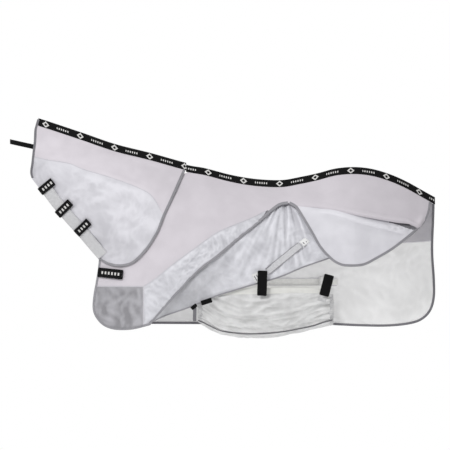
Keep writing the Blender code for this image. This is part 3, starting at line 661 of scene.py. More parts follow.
def face_along(made, places, out):
    """Turn the mesh's faces the way that out, a grid or one row of it, points."""
    rows, cols = places.shape[:2]
    r, c = rows // 2, cols // 2
    edge_a = places[r, min(c + 1, cols - 1)] - places[r, c]
    edge_b = places[min(r + 1, rows - 1), c] - places[r, c]
    if np.dot(np.cross(edge_a, edge_b), out[r, c] if out.ndim == 3 else out[c]) < 0:
        made.data.flip_normals()


def apply_all(made):
    """Apply the object's modifiers, in their order."""
    bpy.ops.object.select_all(action="DESELECT")
    bpy.context.view_layer.objects.active = made
    made.select_set(True)
    for modifier in list(made.modifiers):
        bpy.ops.object.modifier_apply(modifier=modifier.name)
    made.select_set(False)


def thicken(made, thickness, offset_share=0.0, rounded=0.0, sharp=60):
    """Give a mesh its thickness and, with rounded, bevel the edges sharper than sharp degrees."""
    wall = made.modifiers.new("wall", "SOLIDIFY")
    wall.thickness = thickness
    wall.offset = offset_share
    if rounded:
        edge = made.modifiers.new("edge", "BEVEL")
        edge.width = rounded
        edge.segments = 2
        edge.limit_method = "ANGLE"
        edge.angle_limit = math.radians(sharp)
    apply_all(made)
    made.data.shade_smooth()
    made.data.set_sharp_from_angle(angle=math.radians(sharp))


def shell(name, places, out, finish, thickness, run=None, height=None, offset_share=0.0):
    """A thick piece over a grid of places, whose faces look the way that out points."""
    made = piece(name, places, measured(places) if run is None else run, finish, height)
    face_along(made, places, out)
    thicken(made, thickness, offset_share)
    return made


def placed(made, body, slot, *nodes):
    """Attach the piece to body, which it rides on, and hide the CAD nodes that it stands for; slot,
    its finish, is not used.
    """
    if body:
        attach(made, body)
    if nodes:
        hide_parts(*nodes)
    return made


def flat_size(places):
    """Width, length and area of the cut that a grid of places was made from."""
    u, v = measured(places)
    cell = np.cross(places[:-1, 1:] - places[:-1, :-1], places[1:, :-1] - places[:-1, :-1])
    other = np.cross(places[1:, :-1] - places[1:, 1:], places[:-1, 1:] - places[1:, 1:])
    area = (np.linalg.norm(cell, axis=2) + np.linalg.norm(other, axis=2)).sum() / 2
    width = float(v[-1].max())
    length = float(u[:, -1].max())
    return (round(width, 3), round(length, 3)), round(min(float(area), width * length), 4)


def raised_sheet(name, places, out, rise, finish):
    """Cloth raised off smooth places by its wrinkles, and the size that it was cut to."""
    raised = places + out * rise[..., None]
    made = shell(name, raised, out, finish, CLOTH, measured(places), rise)
    return made, flat_size(places)


def laid_sheet(name, flat, side, lift, folds, finish, fade):
    """A panel of cloth on the horse, its folds dying out within fade of its edges."""
    places, out = on_horse(flat, side, lift)
    return raised_sheet(name, places, out, folds * held_edges(places, fade), finish)


def laid_panel(name, flat, side, lift, folds, finish, fade, body, slot, cad):
    """A laid sheet that drapes over the horse and rides on body."""
    made, size = laid_sheet(name, flat, side, lift, folds, finish, fade)
    placed(made, body, slot, cad)


def sew(made, path, out, thread):
    """Add a row of stitches to a piece, lying along path on the faces that out points from."""
    run = lengths(path)
    count = int(run[-1] / STITCH_PITCH)
    centres = (np.arange(count) + 0.5) * run[-1] / max(count, 1)
    middle = walked(path, run, centres)
    up = walked(out, run, centres)
    ahead = walked(path, run, centres + 0.001) - walked(path, run, centres - 0.001)
    ahead /= np.linalg.norm(ahead, axis=1)[:, None]
    side = np.cross(ahead, up)
    side /= np.linalg.norm(side, axis=1)[:, None]
    up = np.cross(side, ahead)
    made.data.materials.append(thread)
    slot = len(made.data.materials) - 1
    bm = bmesh.new()
    bm.from_mesh(made.data)
    for m, a, s, n in zip(middle, ahead, side, up):
        ring = []
        for along, wide, tall in ((-0.5, 0.25, 0.0), (-0.25, 0.5, 1.0), (0.25, 0.5, 1.0),
                                  (0.5, 0.25, 0.0)):
            for k in (-1, 1):
                spot = m + a * along * STITCH + s * k * wide * THREAD + n * tall * THREAD * 0.6
                ring.append(bm.verts.new(spot))
            spot = m + a * along * STITCH - n * THREAD * 0.4
            ring.append(bm.verts.new(spot))
        faces = []
        for k in range(3):
            base = 3 * k
            for i, j in ((0, 1), (1, 2), (2, 0)):
                faces.append((ring[base + i], ring[base + j], ring[base + 3 + j],
                              ring[base + 3 + i]))
        faces.append((ring[2], ring[1], ring[0]))
        faces.append((ring[9], ring[10], ring[11]))
        for corner in faces:
            bm.faces.new(corner).material_index = slot
    bmesh.ops.recalc_face_normals(bm, faces=[f for f in bm.faces if f.material_index == slot])
    bm.to_mesh(made.data)
    bm.free()


# Distance in from the folded edge, as a share of the width, and height off the cloth
BINDING_PROFILE = ((1.00, 0.85), (0.80, 1.0), (0.50, 1.06), (0.20, 1.0), (0.05, 0.75),
                   (-0.03, 0.0), (0.05, -0.75), (0.20, -1.0), (0.50, -1.06), (0.80, -1.0),
                   (1.00, -0.85))


def binding(name, outline, width, side, lift, finish):
    """Binding folded over an edge and sewn through, on the left of its outline."""
    count = max(8, int(lengths(rail(outline, 60))[-1] / BINDING_SPACING))
    edge = rail(outline, count)
    inner = offset(edge, width)
    rows = []
    for share, rise in BINDING_PROFILE:
        flat = edge * (1 - share) + inner * share
        rows.append(on_horse(flat, side, lift + rise * BINDING_HALF)[0])
    places = np.stack(rows)
    ripple = bumps(lengths(edge), 0 * lengths(edge), 0.03, 0.03, 3.1 + width) * 0.0005
    out = on_horse(edge, side)[1]
    places = places + (out * ripple[:, None])[None]
    made = piece(name, places, measured(places), finish)
    face_along(made, places[:3], out)
    thicken(made, BINDING_LEAF)
    for rise in (1, -1):
        line = edge * 0.22 + inner * 0.78
        path, up = on_horse(line, side, lift + rise * (BINDING_HALF + BINDING_LEAF * 0.55))
        sew(made, path + out * ripple[:, None], up * rise, GREY_THREAD)
    return made


def felled_seam(name, line, side, lift, wide=SEAM_WIDTH):
    """The flat seam between two panels, sewn down along both its edges."""
    low = offset(line, -wide / 2)
    high = offset(line, wide / 2)
    rows = []
    for share, rise in ((0.0, 0.2), (0.15, 0.9), (0.5, 1.1), (0.85, 0.9), (1.0, 0.2)):
        flat = low * (1 - share) + high * share
        rows.append(on_horse(flat, side, lift + rise * 0.0009)[0])
    out = on_horse(np.asarray(line), side)[1]
    made = shell(name, np.stack(rows), out, LIGHT_HEM, 0.0018, offset_share=-1.0)
    path, up = on_horse(low * 0.3 + high * 0.7, side, lift + 0.0011)
    sew(made, path, up, PALE_THREAD)
    return made


def flat_cut(name, length, width, corner, cuts, finish):
    """A flat cut of webbing along +X with rounded corners, to be laid in its place."""
    bpy.ops.object.select_all(action="DESELECT")
    bpy.ops.mesh.primitive_grid_add(x_subdivisions=cuts[0], y_subdivisions=cuts[1], size=1.0)
    made = bpy.context.active_object
    made.name = name
    made.data.name = name
    bpy.ops.object.mode_set(mode="EDIT")
    bpy.ops.mesh.select_all(action="SELECT")
    bpy.ops.transform.translate(value=(0.5, 0.0, 0.0))
    bpy.ops.transform.resize(value=(length, width, 1.0), center_override=(0.0, 0.0, 0.0))
    bpy.ops.mesh.select_all(action="DESELECT")
    bpy.ops.mesh.select_mode(type="VERT")
    bm = bmesh.from_edit_mesh(made.data)
    for vert in bm.verts:
        vert.select = len(vert.link_edges) == 2
    bm.select_flush(True)
    bmesh.update_edit_mesh(made.data)
    if corner:
        bpy.ops.mesh.bevel(offset=corner, segments=4, affect="VERTICES")
    bpy.ops.object.mode_set(mode="OBJECT")
    made.data.materials.append(finish)
    return made


def lay(made, place, thickness, thread=None, seams=()):
    """Lay a flat cut where place(s, t) says, and give it its thickness, edges and stitches."""
    mesh = made.data
    spots = np.empty(len(mesh.vertices) * 3)
    mesh.vertices.foreach_get("co", spots)
    spots = spots.reshape(-1, 3)
    while mesh.uv_layers:
        mesh.uv_layers.remove(mesh.uv_layers[0])
    write_uv(mesh, spots[:, :2])
    places, out = place(spots[:, 0], spots[:, 1])
    mesh.vertices.foreach_set("co", places.astype(np.float32).ravel())
    mesh.update()
    mesh.calc_loop_triangles()
    facing = sum(np.dot(np.array(f.normal), out[f.vertices[0]]) for f in mesh.polygons)
    if facing < 0:
        mesh.flip_normals()
    thicken(made, thickness, rounded=CUT_ROUND, sharp=50)
    for seam in seams:
        line = np.asarray(seam, float)
        fine = np.vstack([straight(a, b, 12) for a, b in zip(line, line[1:])])
        path, up = place(fine[:, 0], fine[:, 1])
        for face in (1, -1):
            sew(made, path + up * face * thickness * 0.5, up * face, thread)
    return made


def round_seam(first, last, half):
    """A row of stitches round a strip, from first to last along it and half off its middle."""
    return ((first, -half), (last, -half), (last, half), (first, half), (first, -half))


def box_seam(first, last, half):
    """A sewn box with a cross in it."""
    return (round_seam(first, last, half),
            ((first, -half), (last, half)), ((first, half), (last, -half)))


def strip_on(side, start, end, lift):
    """Where a flat cut lies that runs from start to end on the side of the horse."""
    start = np.asarray(start, float)
    ahead = np.asarray(end, float) - start
    ahead /= np.linalg.norm(ahead)
    left = np.array([-ahead[1], ahead[0]])

    def place(s, t):
        flat = start + s[:, None] * ahead + t[:, None] * left
        rise = lift(flat) if callable(lift) else lift
        return on_horse(flat, side, rise)

    return place


# Pieces of the body

def knit_folds(flat, seed, depth=0.0026):
    """Soft shallow folds of the close knit."""
    soft = bumps(flat[..., 0], flat[..., 1], 0.20, 0.13, seed) * depth
    return soft + bumps(flat[..., 0], flat[..., 1], 0.06, 0.05, seed + 5) * depth * 0.22


def satin_folds(flat, seed):
    """Slack folds of the satin, swirled, over slight creases."""
    swirl = bumps(flat[..., 0], flat[..., 1], 0.10, 0.10, seed) * 0.05
    slack = bumps(flat[..., 0] + swirl, flat[..., 1] - swirl, 0.040, 0.075, seed + 3)
    return slack * 0.0052 + crumple(flat[..., 0], flat[..., 1], 0.06, seed) * 0.0025


def neck_folds(flat, seed):
    """Slanting folds of the neck cover's mesh, over slight creases."""
    x = flat[..., 0]
    z = flat[..., 1]
    slack = bumps(x + 0.4 * z, z - 0.3 * x, 0.16, 0.10, seed) * 0.0045
    return slack + crumple(x, z, 0.080, seed + 3) * 0.0018


def near_upper():
    """The near side's knit panel, whose lower rear edge rolls over the lifted skirt."""
    seam = chest_seam(7)
    front = rail(NEAR_SEAM, 12)[1:]
    fold = rail(FOLD, 10)
    tail = offset(rail(NEAR_TAIL_EDGE, 5), TUCKED)
    low = np.vstack([seam, front, APEX, fold, tail])
    high = body_top(len(low), 1.264)
    columns = 6 * (len(low) - 1) + 1
    flat = ruled(curve(low, columns), curve(high, columns), 46)
    first = len(seam) + len(front) + len(APEX) - 1
    along = np.linspace(0, len(low) - 1, columns)
    rolled = steps(along, first - 0.6, first + 0.8) * (1 - steps(along, first + 11, first + 13))
    depth = 0.004 + 0.013 * steps(along, first + 1, first + 9)
    places, out = on_horse(flat, NEAR, MID_CLOTH)
    v = measured(places)[1]
    roll = np.exp(-((v - 0.016) / 0.020) ** 2) * depth * rolled
    roll -= np.exp(-(v / 0.006) ** 2) * 0.003 * rolled
    rise = knit_folds(flat, 1.7) * held_edges(places, 0.05) + roll
    made, size = raised_sheet("near_upper_cloth", places, out, rise, UPPER_KNIT)
    placed(made, "sheet", "upper_cloth", "near_upper_panel")


def far_upper():
    """The far side's knit panel."""
    seam = chest_seam(7)
    low = np.vstack([seam, rail(FAR_SEAM, 26)[1:]])
    high = body_top(len(low), 1.281)
    columns = 5 * (len(low) - 1) + 1
    flat = ruled(curve(low, columns), curve(high, columns), 40)
    made, size = laid_sheet("far_upper_cloth", flat, FAR, MID_CLOTH, knit_folds(flat, 2.9),
                            UPPER_KNIT, fade=0.05)
    # The inside faces get painted shade: the darker knit back
    line_inside(made, FAR, SHADED_KNIT_BACK)
    placed(made, "sheet", "upper_cloth", "far_upper_panel")


def line_inside(made, side, finish):
    """Give the faces towards the horse their own finish."""
    made.data.materials.append(finish)
    for face in made.data.polygons:
        if face.normal.y * side < 0:
            face.material_index = 1


def chest_panels():
    """The satin panels at the foot of the chest, one on each side."""
    for side, word in SIDES:
        edge = offset(rail(CHEST_EDGE[3:], 30), TUCKED)
        edge = edge[edge[:, 0] < CHEST_SEAM_X[1] - 0.001]
        low = np.vstack([[(-0.584, -0.730)], edge[3:], [(CHEST_SEAM_X[1], -0.846)]])
        flat = ruled(rail(low, 60), chest_seam(60), 44)
        laid_panel(word + "_chest_satin", flat, side, MID_CLOTH, satin_folds(flat, 4.0 + side),
                   SATIN, 0.03, "sheet", "satin_lining", word + "_chest_panel")


def near_band():
    """The crushed mesh between the near knit panel and the lifted hem."""
    hem = offset(rail(NEAR_HEM_FRONT, 60), TUCKED)
    low = np.vstack([[(-0.309, -0.843)], hem[1:50]])
    flat = ruled(rail(low, 170), rail(NEAR_SEAM, 170), 36)
    crushed = crumple(flat[..., 0], flat[..., 1], 0.070, 11.0) * 0.0074
    laid_panel("near_mesh_cloth", flat, NEAR, MID_CLOTH, crushed, BAND_MESH, 0.022, "sheet",
               "crinkled_mesh", "near_mesh_panel")


def far_mesh():
    """The mesh of the far side, below its knit panel."""
    seam = rail(FAR_SEAM, 200)
    floor = np.stack([seam[:, 0], read(FAR_FLOOR, seam[:, 0])], axis=1)
    flat = ruled(floor, seam, 48)
    crushed = crumple(flat[..., 0], flat[..., 1], 0.10, 21.0) * 0.0026
    laid_panel("far_mesh_cloth", flat, FAR, MID_CLOTH, crushed, WHITE_MESH, 0.02, "sheet",
               "crinkled_mesh", "far_mesh_panel")


def skirt():
    """The near side's lower rear corner: it comes out from under the roll, with one more crease."""
    high = rail([(0.534, -0.180)] + [(x, z + 0.012) for x, z in FOLD], 150)
    low = rail(offset(rail(NEAR_HEM_REAR, 60), TUCKED)[7:], 150)
    flat = ruled(low, high, 50)
    places, out = on_horse(flat, NEAR, MID_CLOTH)
    v = measured(places)[1]
    under = v[-1:] - v
    x = flat[..., 0]
    sunk = 0.004 + 0.004 * steps(x, 0.8, 1.05) + 0.006 * steps(x, 1.02, 1.18)
    sunk = sunk * (1 - steps(under, 0.014, 0.045)) * steps(x, 0.56, 0.66)
    above = flat[..., 1] - read(CREASE, x)
    crease = steps(above, -0.004, 0.006) * (1 - steps(above, 0.015, 0.05))
    crease *= steps(x, 0.62, 0.74) * (1 - steps(x, 1.10, 1.15)) * 0.0085
    soft = bumps(x, flat[..., 1], 0.16, 0.10, 31.0) * 0.0022
    bunched = steps(x, 0.90, 1.08) * (1 - steps(under, 0.03, 0.09)) * 0.0085
    soft = (soft + crumple(x, flat[..., 1], 0.030, 33.0) * bunched) * held_edges(places, 0.03)
    made, size = raised_sheet("near_skirt_cloth", places, out, soft + crease - sunk, SKIRT_MESH)
    # Under the roll's rear end a painted shadow in the dark binding's finish, wider towards the tail
    made.data.materials.append(DARK_GROSGRAIN)
    for face in made.data.polygons:
        at = face.center
        painted_shadow_reach = 0.016 + 0.026 * steps(at.x, 1.05, 1.20)
        if at.x > 1.04 and read(FOLD, at.x) + 0.012 - at.z < painted_shadow_reach:
            face.material_index = 1
    hem = binding("near_skirt_edge", NEAR_HEM_REAR, HEM_WIDTH, NEAR, MID_CLOTH, GROSGRAIN)
    placed(made, None, "crinkled_mesh", "near_skirt_panel")
    placed(hem, None, "grey_binding", "near_skirt_binding")
    for cloth in (made, hem):
        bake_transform(cloth)


def wing():
    """The mesh wing inside the near hem, with its upright wrinkles, narrow edge and strips."""
    x = np.linspace(WING_ENDS[0], WING_ENDS[1], 190)
    high = np.stack([x, hem_z(x) + 0.020], axis=1)
    low = np.stack([x, wing_z(x) + 0.003], axis=1)
    flat = ruled(low, high, 70)
    places, out = on_horse(flat, NEAR, wing_lift(flat))
    fan = np.arctan2(WING_FAN[0] - flat[..., 0], WING_FAN[1] - flat[..., 1]) * 0.40
    away = np.hypot(WING_FAN[0] - flat[..., 0], WING_FAN[1] - flat[..., 1])
    wrinkle = bumps(fan, away, 0.060, 0.26, 41.0) * 0.0070
    wrinkle += bumps(fan, away, 0.026, 0.16, 43.0) * 0.0030
    wrinkle += crumple(flat[..., 0], flat[..., 1], 0.085, 44.0) * 0.0028
    rise = wrinkle * held_edges(places, 0.022)
    made, size = raised_sheet("wing_cloth", places, out, rise, WING_MESH)
    edge_x = np.linspace(WING_ENDS[0], WING_ENDS[1], 110)
    rows = []
    for share, rise in BINDING_PROFILE:
        line = np.stack([edge_x, wing_z(edge_x) - 0.002 + share * 0.008], axis=1)
        rows.append(on_horse(line, NEAR, wing_lift(line) + rise * 0.0013)[0])
    rows = np.stack(rows)
    edge = piece("wing_edge", rows, measured(rows), GROSGRAIN)
    thicken(edge, 0.0008)
    mend(edge)
    placed(made, "sheet", "crinkled_mesh", "wing_panel")
    placed(edge, "sheet", "grey_binding", "wing_binding")
    wing_strips()


def mend(made, closed=False):
    """Turn all faces outwards. A closed piece first has its seam joined and its ends filled."""
    bm = bmesh.new()
    bm.from_mesh(made.data)
    if closed:
        bmesh.ops.remove_doubles(bm, verts=bm.verts, dist=0.00001)
        bmesh.ops.holes_fill(bm, edges=[e for e in bm.edges if e.is_boundary], sides=12)
    bmesh.ops.recalc_face_normals(bm, faces=bm.faces)
    bm.to_mesh(made.data)
    bm.free()


def wing_strips():
    """The slanting loop strip on the wing and the two plain labels at its ends."""
    first = np.array(NEAR_STRIP[0])
    last = np.array(NEAR_STRIP[1])
    ahead = (last - first) / np.linalg.norm(last - first)
    flatter = np.array(LOWER_LABEL_SLANT)
    cuts = (("near_loop_tape", first, last, NEAR_STRIP_WIDTH, 0.0015, LOOP, "loop_tape",
             "near_loop_strip"),
            ("upper_label_cloth", last + ahead * UPPER_LABEL[0], last + ahead * UPPER_LABEL[1],
             NEAR_STRIP_WIDTH, 0.001, LABEL, "label_cloth", "upper_label"),
            ("lower_label_cloth", first - flatter * LOWER_LABEL[0],
             first - flatter * LOWER_LABEL[1], LOWER_LABEL_WIDTH, 0.001, LABEL, "label_cloth",
             "lower_label"))
    for name, start, end, width, thick, finish, slot, cad in cuts:
        long = float(np.linalg.norm(end - start))
        made = flat_cut(name, long, width, 0.002, (max(8, int(long / 0.006)), 12), finish)
        around = round_seam(0.003, long - 0.003, width / 2 - 0.003)
        lay(made, strip_on(NEAR, start, end, lambda f: wing_lift(f) + STRIP_LIFT + 0.0006),
            thick, DARK_THREAD, [around])
        if finish is LABEL:
            repaint(made, start, end, DARK_GROSGRAIN, lambda s, t, length=long, wide=width:
                    abs(t) < wide * 0.30 and abs(abs(s / length - 0.5) - 0.1875) < 0.03)
        else:
            repaint(made, start, end, GROSGRAIN, lambda s, t: abs(t) > 0.0155)
        placed(made, "sheet", slot, cad)


def repaint(made, start, end, finish, chosen):
    """Give the faces of a strip another finish where chosen(along, across) says so."""
    made.data.materials.append(finish)
    slot = len(made.data.materials) - 1
    start = np.asarray(start)
    ahead = (np.asarray(end) - start) / np.linalg.norm(np.asarray(end) - start)
    left = np.array([-ahead[1], ahead[0]])
    for face in made.data.polygons:
        centre = np.array([face.center.x, face.center.z]) - start
        if face.material_index == 0 and chosen(float(centre @ ahead), float(centre @ left)):
            face.material_index = slot


def far_loop():
    """The long level loop strip inside the far side."""
    long = FAR_STRIP[1][0] - FAR_STRIP[0][0]
    made = flat_cut("far_loop_tape", long, 0.042, 0.002, (80, 14), PALE_LOOP)
    lay(made, strip_on(FAR, FAR_STRIP[0], FAR_STRIP[1], -0.0058), 0.0015, GREY_THREAD,
        [round_seam(0.003, long - 0.003, 0.018)])
    repaint(made, FAR_STRIP[0], FAR_STRIP[1], LIGHT_HEM, lambda s, t: abs(t) > 0.0170)
    placed(made, "sheet", "loop_tape", "far_loop_strip")


def spine_tape(name, first_x, last_x, lift, body, cad, shift):
    """The patterned tape folded over the spine, sewn along both edges, its pattern shifted on."""
    x = np.linspace(first_x, last_x, max(30, int((last_x - first_x) / 0.009)))
    drops = np.concatenate([np.linspace(-1, -0.12, 9), [-0.05, 0.0, 0.05],
                            np.linspace(0.12, 1, 9)])
    rows = []
    outs = []
    for drop in drops:
        side = NEAR if drop < 0 else FAR
        flat = np.stack([x, top(x) - TAPE_DROP * abs(drop)], axis=1)
        places, out = on_horse(flat, side, lift + 0.0018)
        if abs(drop) < 0.06:
            share = abs(drop) / 0.12
            places[:, 1] *= share
            places[:, 2] = top(x) + lift + 0.0022 - 0.002 * share
            out = np.stack([0 * x, side * share + 0 * x, 1 + 0 * x], axis=1)
        rows.append(places)
        outs.append(out)
    u = np.repeat(lengths(np.stack([x, top(x)], axis=1))[None] + shift, len(drops), axis=0)
    v = np.repeat(np.abs(drops)[:, None] * TAPE_DROP, len(x), axis=1)
    made = shell(name, np.stack(rows), np.stack(outs), TAPE, 0.0022, (u, v))
    for drop in (-0.93, 0.93):
        side = NEAR if drop < 0 else FAR
        flat = np.stack([x, top(x) - TAPE_DROP * abs(drop)], axis=1)
        path, up = on_horse(flat, side, lift + 0.0018 + 0.0011)
        sew(made, path, up, BLACK_THREAD)
    placed(made, body, "black_webbing", cad)


def body_edges():
    """The bindings of the body."""
    plan = (("near_hem_edge", NEAR_HEM_FRONT, HEM_WIDTH, NEAR, GROSGRAIN, "near_hem_binding"),
            ("near_tail_hem", NEAR_TAIL_EDGE, TAIL_EDGE_WIDTH, NEAR, GROSGRAIN, "near_tail_binding"),
            ("far_hem_edge", FAR_HEM, EDGE_WIDTH, FAR, DARK_GROSGRAIN, "far_hem_binding"),
            ("near_chest_edge", CHEST_EDGE, EDGE_WIDTH, NEAR, GROSGRAIN, "near_chest_binding"),
            ("far_chest_edge", CHEST_EDGE, EDGE_WIDTH, FAR, GROSGRAIN, "far_chest_binding"))
    for name, outline, width, side, finish, cad in plan:
        made = binding(name, outline, width, side, MID_CLOTH, finish)
        placed(made, "sheet", "grey_binding", cad)


def body_seams():
    """The felled seams between the panels of the body."""
    plan = (("near_seam", rail(NEAR_SEAM[:-1] + [(0.345, -0.223)], 130), NEAR),
            ("far_seam", rail(FAR_SEAM, 200), FAR),
            ("near_chest_seam", chest_seam(40), NEAR),
            ("far_chest_seam", chest_seam(40), FAR),
            ("near_chest_upright_seam", straight((-0.310, -0.842), (-0.310, -0.629), 32), NEAR),
            ("far_chest_upright_seam", straight((-0.310, -0.836), (-0.310, -0.629), 32), FAR))
    for name, line, side in plan:
        made = felled_seam(name, line, side, MID_CLOTH)
        placed(made, "sheet", "grey_binding")


def chest_fastening():
    """The chest tab and the loop patch under it."""
    length, width = CHEST_TAB_SIZE
    start = np.array(CHEST_TAB_START)
    lean = np.array([1.0, -0.10]) / math.hypot(1.0, 0.10)
    end = start + lean * length
    tab = flat_cut("chest_tab_webbing", length, width, 0.006, (24, 10), CHEST_WEBBING)
    half = width / 2 - 0.004
    lay(tab, strip_on(NEAR, start, end, CHEST_TAB_LIFT + 0.00125), 0.0025, BLACK_THREAD,
        [round_seam(0.004, length - 0.004, half), *box_seam(0.008, 0.030, half - 0.004)])
    placed(tab, "chest_tab", "black_webbing", "chest_tab")
    patch = flat_cut("chest_loop_pile", length - 0.038, width - 0.012, 0.003, (18, 6), LOOP)
    lay(patch, strip_on(NEAR, start + lean * 0.030, end, 0.00575), 0.0015)
    placed(patch, "sheet", "loop_tape", "chest_loop_patch")


# The neck cover

def neck_panels():
    """Knit above and mesh below on each side of the neck, with their bindings and seam."""
    throat = offset(rail(THROAT, 8), 0.003)[:7]
    lobe = offset(rail(NECK_LOBE, 8), TUCKED)[1:]
    low = np.vstack([throat, lobe])
    low[0] = (-0.918, -0.034)
    for side, word in SIDES:
        seam = rail(NECK_SEAM, 14)
        high = curve(tape_edge(-0.903, -0.094, 14), 110)
        lift = NECK_LIFT + MID_CLOTH
        flat = ruled(curve(seam, 110), high, 30)
        laid_panel("neck_%s_upper_cloth" % word, flat, side, lift,
                   knit_folds(flat, 51.0 + side), UPPER_KNIT, 0.04, "neck_cover", "upper_cloth",
                   "neck_%s_upper_panel" % word)
        flat = ruled(curve(low, 118), curve(seam, 118), 62)
        laid_panel("neck_%s_mesh_cloth" % word, flat, side, lift,
                   neck_folds(flat, 53.0 + side), NECK_MESH, 0.04, "neck_cover",
                   "crinkled_mesh", "neck_%s_mesh_panel" % word)
        front = binding("neck_%s_front_edge" % word, NECK_FRONT, EDGE_WIDTH, side, lift,
                        DARK_GROSGRAIN)
        placed(front, "neck_cover", "grey_binding", "neck_%s_front_binding" % word)
        rear = binding("neck_%s_rear_edge" % word, NECK_LOBE + NECK_REAR, EDGE_WIDTH, side, lift,
                       GROSGRAIN)
        placed(rear, "neck_cover", "grey_binding", "neck_%s_rear_binding" % word)
        joined = felled_seam("neck_%s_seam" % word, rail(NECK_SEAM[:-1] + [(-0.212, -0.218)], 90),
                             side, lift, wide=0.005)
        placed(joined, "neck_cover", "grey_binding")


def throat_facing():
    """The facing along the throat, on the near side, that the three tabs close on."""
    edge = offset(rail(THROAT[1:], 60), 0.004)
    flat = ruled(edge, offset(edge, 0.062), 14)
    made, _ = laid_sheet("throat_facing_cloth", flat, NEAR, FACING_LIFT + MID_CLOTH,
                         knit_folds(flat, 61.0, 0.0006), FACING, fade=0.02)
    for inset in (0.004, 0.058):
        path, up = on_horse(offset(edge, inset), NEAR, FACING_LIFT + MID_CLOTH + CLOTH / 2)
        sew(made, path, up, GREY_THREAD)
    placed(made, "neck_cover", "facing_cloth", "throat_facing")


def throat_tabs():
    """The three tabs that close the throat, each sewn down at its foot."""
    width = THROAT_TAB_WIDTH
    for i, (start, slope, length) in enumerate(THROAT_TABS):
        name = "throat_tab_%d" % (i + 1)
        inward = np.array([math.cos(math.radians(slope)), math.sin(math.radians(slope))])
        first = np.array(start) + inward * (0.008 + 0.00033 * (slope - 38.5))
        made = flat_cut(name + "_webbing", length, width, 0.004, (18, 8), THROAT_WEBBING)
        half = width / 2 - 0.0035
        around = round_seam(0.0035, length - 0.0035, half)
        lay(made, strip_on(NEAR, first, first + inward * length, TAB_LIFT + 0.0016), 0.0022,
            BLACK_THREAD, [around, *box_seam(0.007, 0.024, half - 0.003)])
        placed(made, name, "black_webbing", name)


def poll_strap():
    """The flat webbing loop across the front of the neck cover."""
    reach = POLL_STRAP_X - POLL_STRAP_TIP
    anchor = float(half_width(np.array(POLL_STRAP_X), np.array(POLL_STRAP_Z))) + 0.003
    fine = np.linspace(0, math.pi, 400)
    x = POLL_STRAP_X - reach * np.sin(fine) ** 0.55
    y = -anchor * np.cos(fine)
    loop = np.stack([x, y, POLL_STRAP_Z + POLL_STRAP_RISE * (POLL_STRAP_X - x)], axis=1)
    run = lengths(loop)

    def place(s, t):
        spot = walked(loop, run, s)
        ahead = walked(loop, run, s + 0.001) - walked(loop, run, s - 0.001)
        spot[:, 2] += t
        out = np.cross(ahead, np.array([[0.0, 0.0, 1.0]]))
        out /= np.linalg.norm(out, axis=1)[:, None]
        return spot + out * 0.00125, out

    long = float(run[-1])
    made = flat_cut("poll_strap_webbing", long, POLL_STRAP_WIDTH, 0, (110, 6), WEBBING)
    rows = [straight((0.003, k * 0.0095), (long - 0.003, k * 0.0095), 90) for k in (-1, 1)]
    lay(made, place, 0.0025, BLACK_THREAD, rows)
    placed(made, "poll_strap", "black_webbing", "poll_strap")


# The belly flap

def belly_wrinkle(x, run):
    """Gathers that fan in from both elastic ends, over a crushed middle."""
    left = x - BELLY_FRONT_X
    right = BELLY_REAR_X - x
    near_end = np.exp(-left / 0.10) + np.exp(-right / 0.12)
    gathers = bumps(x * 0.35, run, 0.05, 0.018, 71.0) * 0.0062 * np.minimum(near_end, 1.0)
    middle = crumple(x * 0.38, run, 0.045, 72.0) * 0.0080 * (1 - 0.5 * np.minimum(near_end, 1.0))
    long = bumps(x + 0.8 * run, run, 0.20, 0.040, 73.0) * 0.0060
    return gathers + middle + long


def belly_normals(places):
    """Directions out of the flap, away from the middle of the horse's belly."""
    ahead = np.gradient(places, axis=1)
    round_ = np.gradient(places, axis=0)
    out = np.cross(round_, ahead)
    out /= np.linalg.norm(out, axis=-1)[..., None]
    middle = np.array([0.35, 0.0, -0.45])
    if np.sum((places - middle) * out) < 0:
        out = -out
    return out


def belly_grid(first, last, low, high, cols, rows):
    """Stations along the flap, how far round it they are, their places and the way out."""
    x, v = np.meshgrid(np.linspace(first, last, cols), np.linspace(low, high, rows))
    places = belly_places(x, v)
    return x, v, places, belly_normals(places)


def belly_flap():
    """The crushed mesh sling, its ruched ends, its long edges and the piping near its foot."""
    first = BELLY_FRONT_X + ELASTIC_WIDTH - 0.004
    last = BELLY_REAR_X - ELASTIC_WIDTH + 0.004
    x, v, places, out = belly_grid(first, last, 0.045, 0.980, 150, 150)
    run = measured(places)[1]
    held = 1 - 0.9 * np.exp(-((v - piping_v(x)) / 0.016) ** 2)
    rise = belly_wrinkle(x, run) * steps(np.minimum(run, run[-1:] - run), 0.0, 0.012) * held
    made, size = raised_sheet("belly_flap_cloth", places, out, rise - 0.002, BELLY_MESH)
    placed(made, "belly_flap", "crinkled_mesh", "belly_flap_panel")
    hems = [belly_edge("belly_near_edge", 0.974, 1.0, "belly_near_binding"),
            belly_edge("belly_far_edge", 0.0, 0.058, "belly_far_binding"),
            belly_ends("belly_front_ruching", BELLY_FRONT_X, first + 0.004,
                       "belly_front_elastic", 75.0),
            belly_ends("belly_rear_ruching", last - 0.004, BELLY_REAR_X,
                       "belly_rear_elastic", 77.0),
            belly_piping()]


def belly_edge(name, low, high, cad):
    """A long edge of the flap, folded over and sewn."""
    x, _, places, out = belly_grid(BELLY_FRONT_X + ELASTIC_WIDTH, BELLY_REAR_X - ELASTIC_WIDTH,
                                   low, high, 90, 5)
    u, run = measured(places)
    wave = bumps(x, run, 0.05, 0.05, 81.0 + low) * 0.0006
    places = places + out * (wave - 0.0010)[..., None]
    made = shell(name, places, out, WHITE_HEM, 0.0022, (u, run))
    sew(made, places[2] + out[2] * 0.0012, out[2], PALE_THREAD)
    return placed(made, "belly_flap", "grey_binding", cad)


